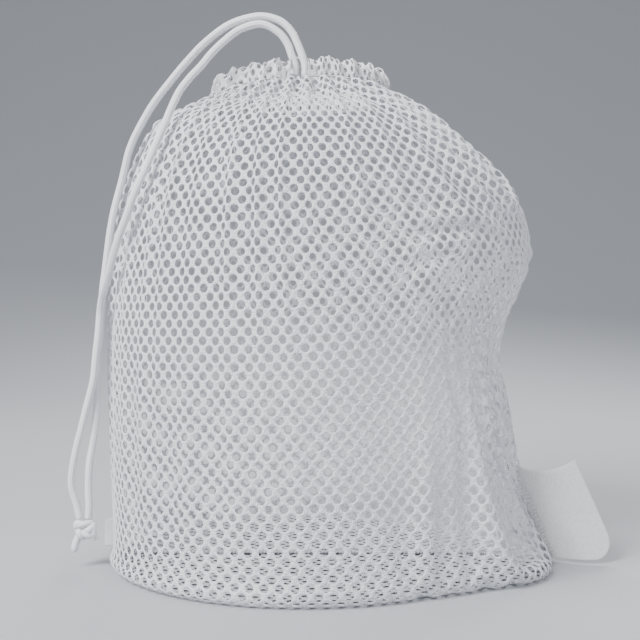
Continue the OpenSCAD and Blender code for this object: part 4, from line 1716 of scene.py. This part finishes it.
    def bartacks(self) -> bpy.types.Object:
        """Dense thread bars on each side of the cord's way out."""
        gap = self.mouth.gap_turn()
        parts = []
        for direction in (-1, 1):
            turn = self.mouth.exit_turn + direction * (gap + 0.035)
            up = np.linspace(0.35, 0.72, 12) * self.mouth.height
            n = len(up)
            points = self.mouth.point(np.full(n, turn), np.full(n, -0.0006), up)
            outward = np.tile([math.cos(turn), math.sin(turn), 0.0], (n, 1))
            bar = ring_of_thread(0.0011, 0.0004, 0.0004, 0.0, steps=10, sides=5)
            parts.append(stitched(points, outward, bar, 0.00042, 0.05, self.thread, "tack"))
        piece = joined("cord_exit_bartacks", parts)
        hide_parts("exit_bartacks")
        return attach(piece, Body.NECK.value)

    def build(self) -> list:
        """Makes the cord and all that is on it.

        Returns:
            The pieces.
        """
        knot = self.knot()
        blunt = self.end("blunt_cord_end", self.stub, (0.96, 1.0, 1.0, 1.04, 1.0, 0.55),
                         "cord_stub")
        frayed = self.end("frayed_cord_end", self.frayed, (0.82, 0.86, 0.9, 0.8, 0.45, 0.2),
                          "cord_frayed_end")
        fray = self.fray()
        outer = self.strand("outer_cord_strand", self.outer,
                            ("cord_outer_upper", "cord_outer_lower"),
                            [knot, blunt, frayed, fray])
        inner = self.strand("inner_cord_strand", self.inner,
                            ("cord_inner_upper", "cord_inner_lower"), [knot])
        return [outer, inner, knot, blunt, frayed, fray, self.loop(), self.bartacks()]


# ---- Label and tag ------------------------------------------------------------------------


@dataclass
class SideLabel:
    """The large plain label in the right seam, curled, with one rounded lower corner."""

    finish: bpy.types.Material
    thread: bpy.types.Material
    foot: tuple = (0.146, -0.0105, 0.0015)
    top: tuple = (0.1255, -0.0035, 0.060)
    free_foot: tuple = (0.188, -0.015, 0.003)
    free_top: tuple = (0.163, -0.009, 0.0615)
    bulge: float = 0.008
    dip: float = 0.006
    corner: float = 0.016
    thickness: float = 0.0007
    rows: int = 48
    cols: int = 56

    def reach(self, v: Array) -> Array:
        """How far each height reaches from the seam, less at the rounded corner."""
        up = v * self.top[2]
        wide = self.free_foot[0] - self.foot[0]
        inside = np.clip((self.corner - up) / self.corner, 0, 1)
        return 1 - (self.corner / wide) * (1 - np.sqrt(1 - inside**2))

    def point(self, u: Array, v: Array) -> Array:
        """Places on the label, u out from the seam and v up, both from 0 to 1."""
        seam = np.array(self.foot) + (np.array(self.top) - np.array(self.foot)) * v[..., None]
        edge = (np.array(self.free_foot)
                + (np.array(self.free_top) - np.array(self.free_foot)) * v[..., None])
        p = seam + (edge - seam) * u[..., None]
        p[..., 1] -= self.bulge * np.sin(np.radians(150 * u))
        p[..., 2] -= self.dip * v * np.sin(np.radians(180 * u**0.8))
        p[..., 1] += 0.0006 * np.sin(9 * u + 4 * v) * u
        return p

    def build(self) -> list:
        """Makes the label and the stitches that hold it.

        Returns:
            The pieces.
        """
        v = np.linspace(0, 1, self.rows) ** 1.35
        share = np.linspace(0, 1, self.cols)
        u = share[None, :] * self.reach(v)[:, None]
        grid = self.point(u, np.broadcast_to(v[:, None], u.shape).copy())
        normal = np.cross(np.gradient(grid, axis=1), np.gradient(grid, axis=0))
        normal /= np.linalg.norm(normal, axis=2, keepdims=True) + 1e-12
        rim = np.minimum(np.minimum(share[None, :], 1 - share[None, :]) * self.cols,
                         np.minimum(v, 1 - v)[:, None] * self.rows)
        half = self.thickness / 2 * np.clip(0.35 + rim, 0.35, 1)[..., None]
        front, back = grid + normal * half, grid - normal * half
        n = self.rows * self.cols
        faces = grid_faces(self.rows, self.cols)
        faces += [tuple(n + i for i in reversed(f)) for f in grid_faces(self.rows, self.cols)]
        border = ([c for c in range(self.cols)]
                  + [r * self.cols + self.cols - 1 for r in range(1, self.rows)]
                  + [(self.rows - 1) * self.cols + c for c in range(self.cols - 2, -1, -1)]
                  + [r * self.cols for r in range(self.rows - 2, 0, -1)])
        for a, b in zip(border, border[1:] + border[:1]):
            faces.append((b, a, n + a, n + b))
        points = np.concatenate([front.reshape(-1, 3), back.reshape(-1, 3)])
        piece = mesh_object("plain_side_label", points, faces)
        piece.data.materials.append(self.finish)
        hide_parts("side_label")
        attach(piece, Body.LABEL.value)
        return [piece, self.stitches()]

    def stitches(self) -> bpy.types.Object:
        """Zigzag thread along the label's seam edge."""
        low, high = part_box("label_stitching")
        steps = np.linspace(0, 1, 24)
        start = np.array([high.x - 0.0012, low.y + 0.0012, low.z + 0.001])
        end = np.array([low.x + 0.0012, high.y - 0.0012, high.z - 0.001])
        points = start + (end - start) * steps[:, None]
        outward = np.tile([0.2, -0.98, 0.0], (len(points), 1))
        loop = ring_of_thread(0.0015, 0.0011, 0.0005, 0.0007)
        piece = stitched(points, outward, loop, 0.0024, 0.06, self.thread,
                         "label_seam_stitches")
        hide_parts("label_stitching")
        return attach(piece, Body.BAG.value)


@dataclass
class SeamTag:
    """The small folded tag in the left seam."""

    finish: bpy.types.Material
    thread: bpy.types.Material
    leaf: float = 0.00035
    gap: float = 0.00022
    corner: float = 0.003
    root: float = 0.0024

    def build(self) -> list:
        """Makes the tag, folded over at its free edge, and its stitches.

        Returns:
            The pieces.
        """
        low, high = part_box("side_tag")
        foot = high.x - self.root
        width, height = foot - low.x, high.z - low.z
        mid = (low.y + high.y) / 2
        cols, rows = 22, 26
        v = np.linspace(0, 1, rows)
        leaves = []
        # The strip runs out along one leaf, round the fold and back along the other
        turn = np.linspace(-math.pi / 2, math.pi / 2, 7)
        out = np.linspace(0, 1 - self.gap / width, cols)
        u = np.concatenate([out, 1 - self.gap / width + self.gap / width * np.cos(turn),
                            out[::-1]])
        depth = np.concatenate([np.full(cols, -1.0), np.sin(turn), np.full(cols, 1.0)])
        for k in range(rows):
            near_top = max(0.0, (v[k] - (1 - self.corner / height)) / (self.corner / height))
            cut = 1 - self.corner / width * (1 - math.sqrt(max(1 - near_top**2, 0.0)))
            bow = 0.0005 * np.sin(math.pi * v[k]) * u
            leaves.append(np.stack([foot - u * cut * width, mid + depth * self.gap + bow,
                                    np.full(len(u), low.z + v[k] * height)], axis=1))
        grid = np.array(leaves)
        piece = mesh_object("small_seam_tag", grid.reshape(-1, 3),
                            grid_faces(rows, grid.shape[1]))
        thick = piece.modifiers.new("thick", "SOLIDIFY")
        thick.thickness, thick.offset = self.leaf, 0.0
        piece.data.materials.append(self.finish)
        bpy.context.view_layer.update()
        depsgraph = bpy.context.evaluated_depsgraph_get()
        solid = bpy.data.meshes.new_from_object(piece.evaluated_get(depsgraph))
        piece.modifiers.clear()
        piece.data = solid
        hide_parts("side_tag")
        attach(piece, Body.TAG.value)
        return [piece, self.stitches()]

    def stitches(self) -> bpy.types.Object:
        """Thread loops that hold the tag in the seam."""
        low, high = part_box("tag_stitching")
        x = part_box("side_tag")[1].x - self.root + 0.0004
        z = np.linspace(low.z + 0.001, high.z - 0.001, 9)
        points = np.stack([np.full(9, x), np.zeros(9), z], axis=1)
        outward = np.tile([-1.0, 0.0, 0.0], (9, 1))
        loop = ring_of_thread(0.0014, 0.0009, 0.0005, 0.0006)
        piece = stitched(points, outward, loop, 0.0022, 0.06, self.thread, "tag_seam_stitches")
        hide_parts("tag_stitching")
        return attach(piece, Body.BAG.value)


# ---- Stage --------------------------------------------------------------------------------


@dataclass
class Studio:
    """Camera, soft lights and a plain pale sweep."""

    camera_place: tuple = (0.0086, -0.617, 0.155)
    pitch_down: float = 0.86
    lens: float = 56.25
    floor_color: tuple = (0.40, 0.415, 0.44)

    def build(self) -> None:
        """Makes the camera, the lights and the floor."""
        camera = bpy.data.cameras.new("camera")
        camera.lens, camera.sensor_width = self.lens, 36.0
        camera.clip_start = 0.01
        holder = link(bpy.data.objects.new("camera", camera))
        holder.location = self.camera_place
        holder.rotation_euler = (math.radians(90 - self.pitch_down), 0, 0)
        bpy.context.scene.camera = holder
        self.light("key", (-0.85, -0.9, 1.15), (0.7, 0.7), 50)
        self.light("fill", (1.2, -0.7, 0.7), (1.0, 1.0), 7)
        self.light("back", (0.3, 1.1, 1.0), (1.2, 0.6), 18)
        self.world()
        self.floor()

    @staticmethod
    def light(name: str, place: tuple, size: tuple, power: float) -> None:
        """Adds a soft rectangular light that faces the bag."""
        data = bpy.data.lights.new(name, "AREA")
        data.shape, data.size, data.size_y, data.energy = "RECTANGLE", *size, power
        holder = link(bpy.data.objects.new(name, data))
        holder.location = place
        aim = Vector((0, 0, 0.13)) - Vector(place)
        holder.rotation_euler = aim.to_track_quat("-Z", "Y").to_euler()

    @staticmethod
    def world() -> None:
        """Sets an even pale surrounding light."""
        world = bpy.data.worlds.new("studio")
        world.use_nodes = True
        world.node_tree.nodes["Background"].inputs["Color"].default_value = (0.93, 0.95, 1.0, 1)
        world.node_tree.nodes["Background"].inputs["Strength"].default_value = 0.62
        bpy.context.scene.world = world

    def floor(self) -> None:
        """Adds the sweep: flat under the bag, rising far behind it."""
        half, depth = 60.0, 0.9
        bend = [(-60.0, 0.0), (depth, 0.0)]
        bend += [(depth + 2.4 * math.sin(a), 2.4 * (1 - math.cos(a)))
                 for a in np.linspace(0.05, math.pi / 2, 28)]
        bend += [(depth + 2.4, 5.5)]
        points = [(x, y, z) for y, z in bend for x in (-half, half)]
        sweep = mesh_object("sweep", np.array(points), grid_faces(len(bend), 2))
        paint = bpy.data.materials.new("pale_sweep")
        paint.use_nodes = True
        shader = paint.node_tree.nodes["Principled BSDF"]
        shader.inputs["Base Color"].default_value = (*self.floor_color, 1)
        shader.inputs["Roughness"].default_value = 0.75
        sweep.data.materials.append(paint)


def main() -> None:
    """Builds the bag in order: camera and cords, then cloth, seams, label and tag."""
    logging.basicConfig(level=logging.INFO, format="%(name)s: %(message)s")
    Studio().build()
    finishes = Wardrobe()
    thread_tree()
    mouth = MouthRing()
    pieces = Drawcord(mouth, finishes.cord, finishes.thread).build()
    pouch = Pouch(FilledShape(), mouth)
    pouch.settle()
    cloth = MeshCloth()
    dense = MeshCloth(hole_width=0.48, hole_height=0.86, thickness=0.0011, tree=cloth.tree)
    pieces += PouchPanels(pouch, cloth, finishes.mesh).build()
    pieces += GatheredChannel(mouth, dense, finishes.hem, finishes.thread).build()
    pieces += Seams(pouch, mouth, finishes.thread, finishes.mesh).build()
    pieces += SideLabel(finishes.label, finishes.thread).build()
    pieces += SeamTag(finishes.label, finishes.thread).build()
    for piece in pieces:
        LOG.info("%s: %d faces", piece.name, len(piece.data.polygons))


if __name__ == "__main__":
    main()
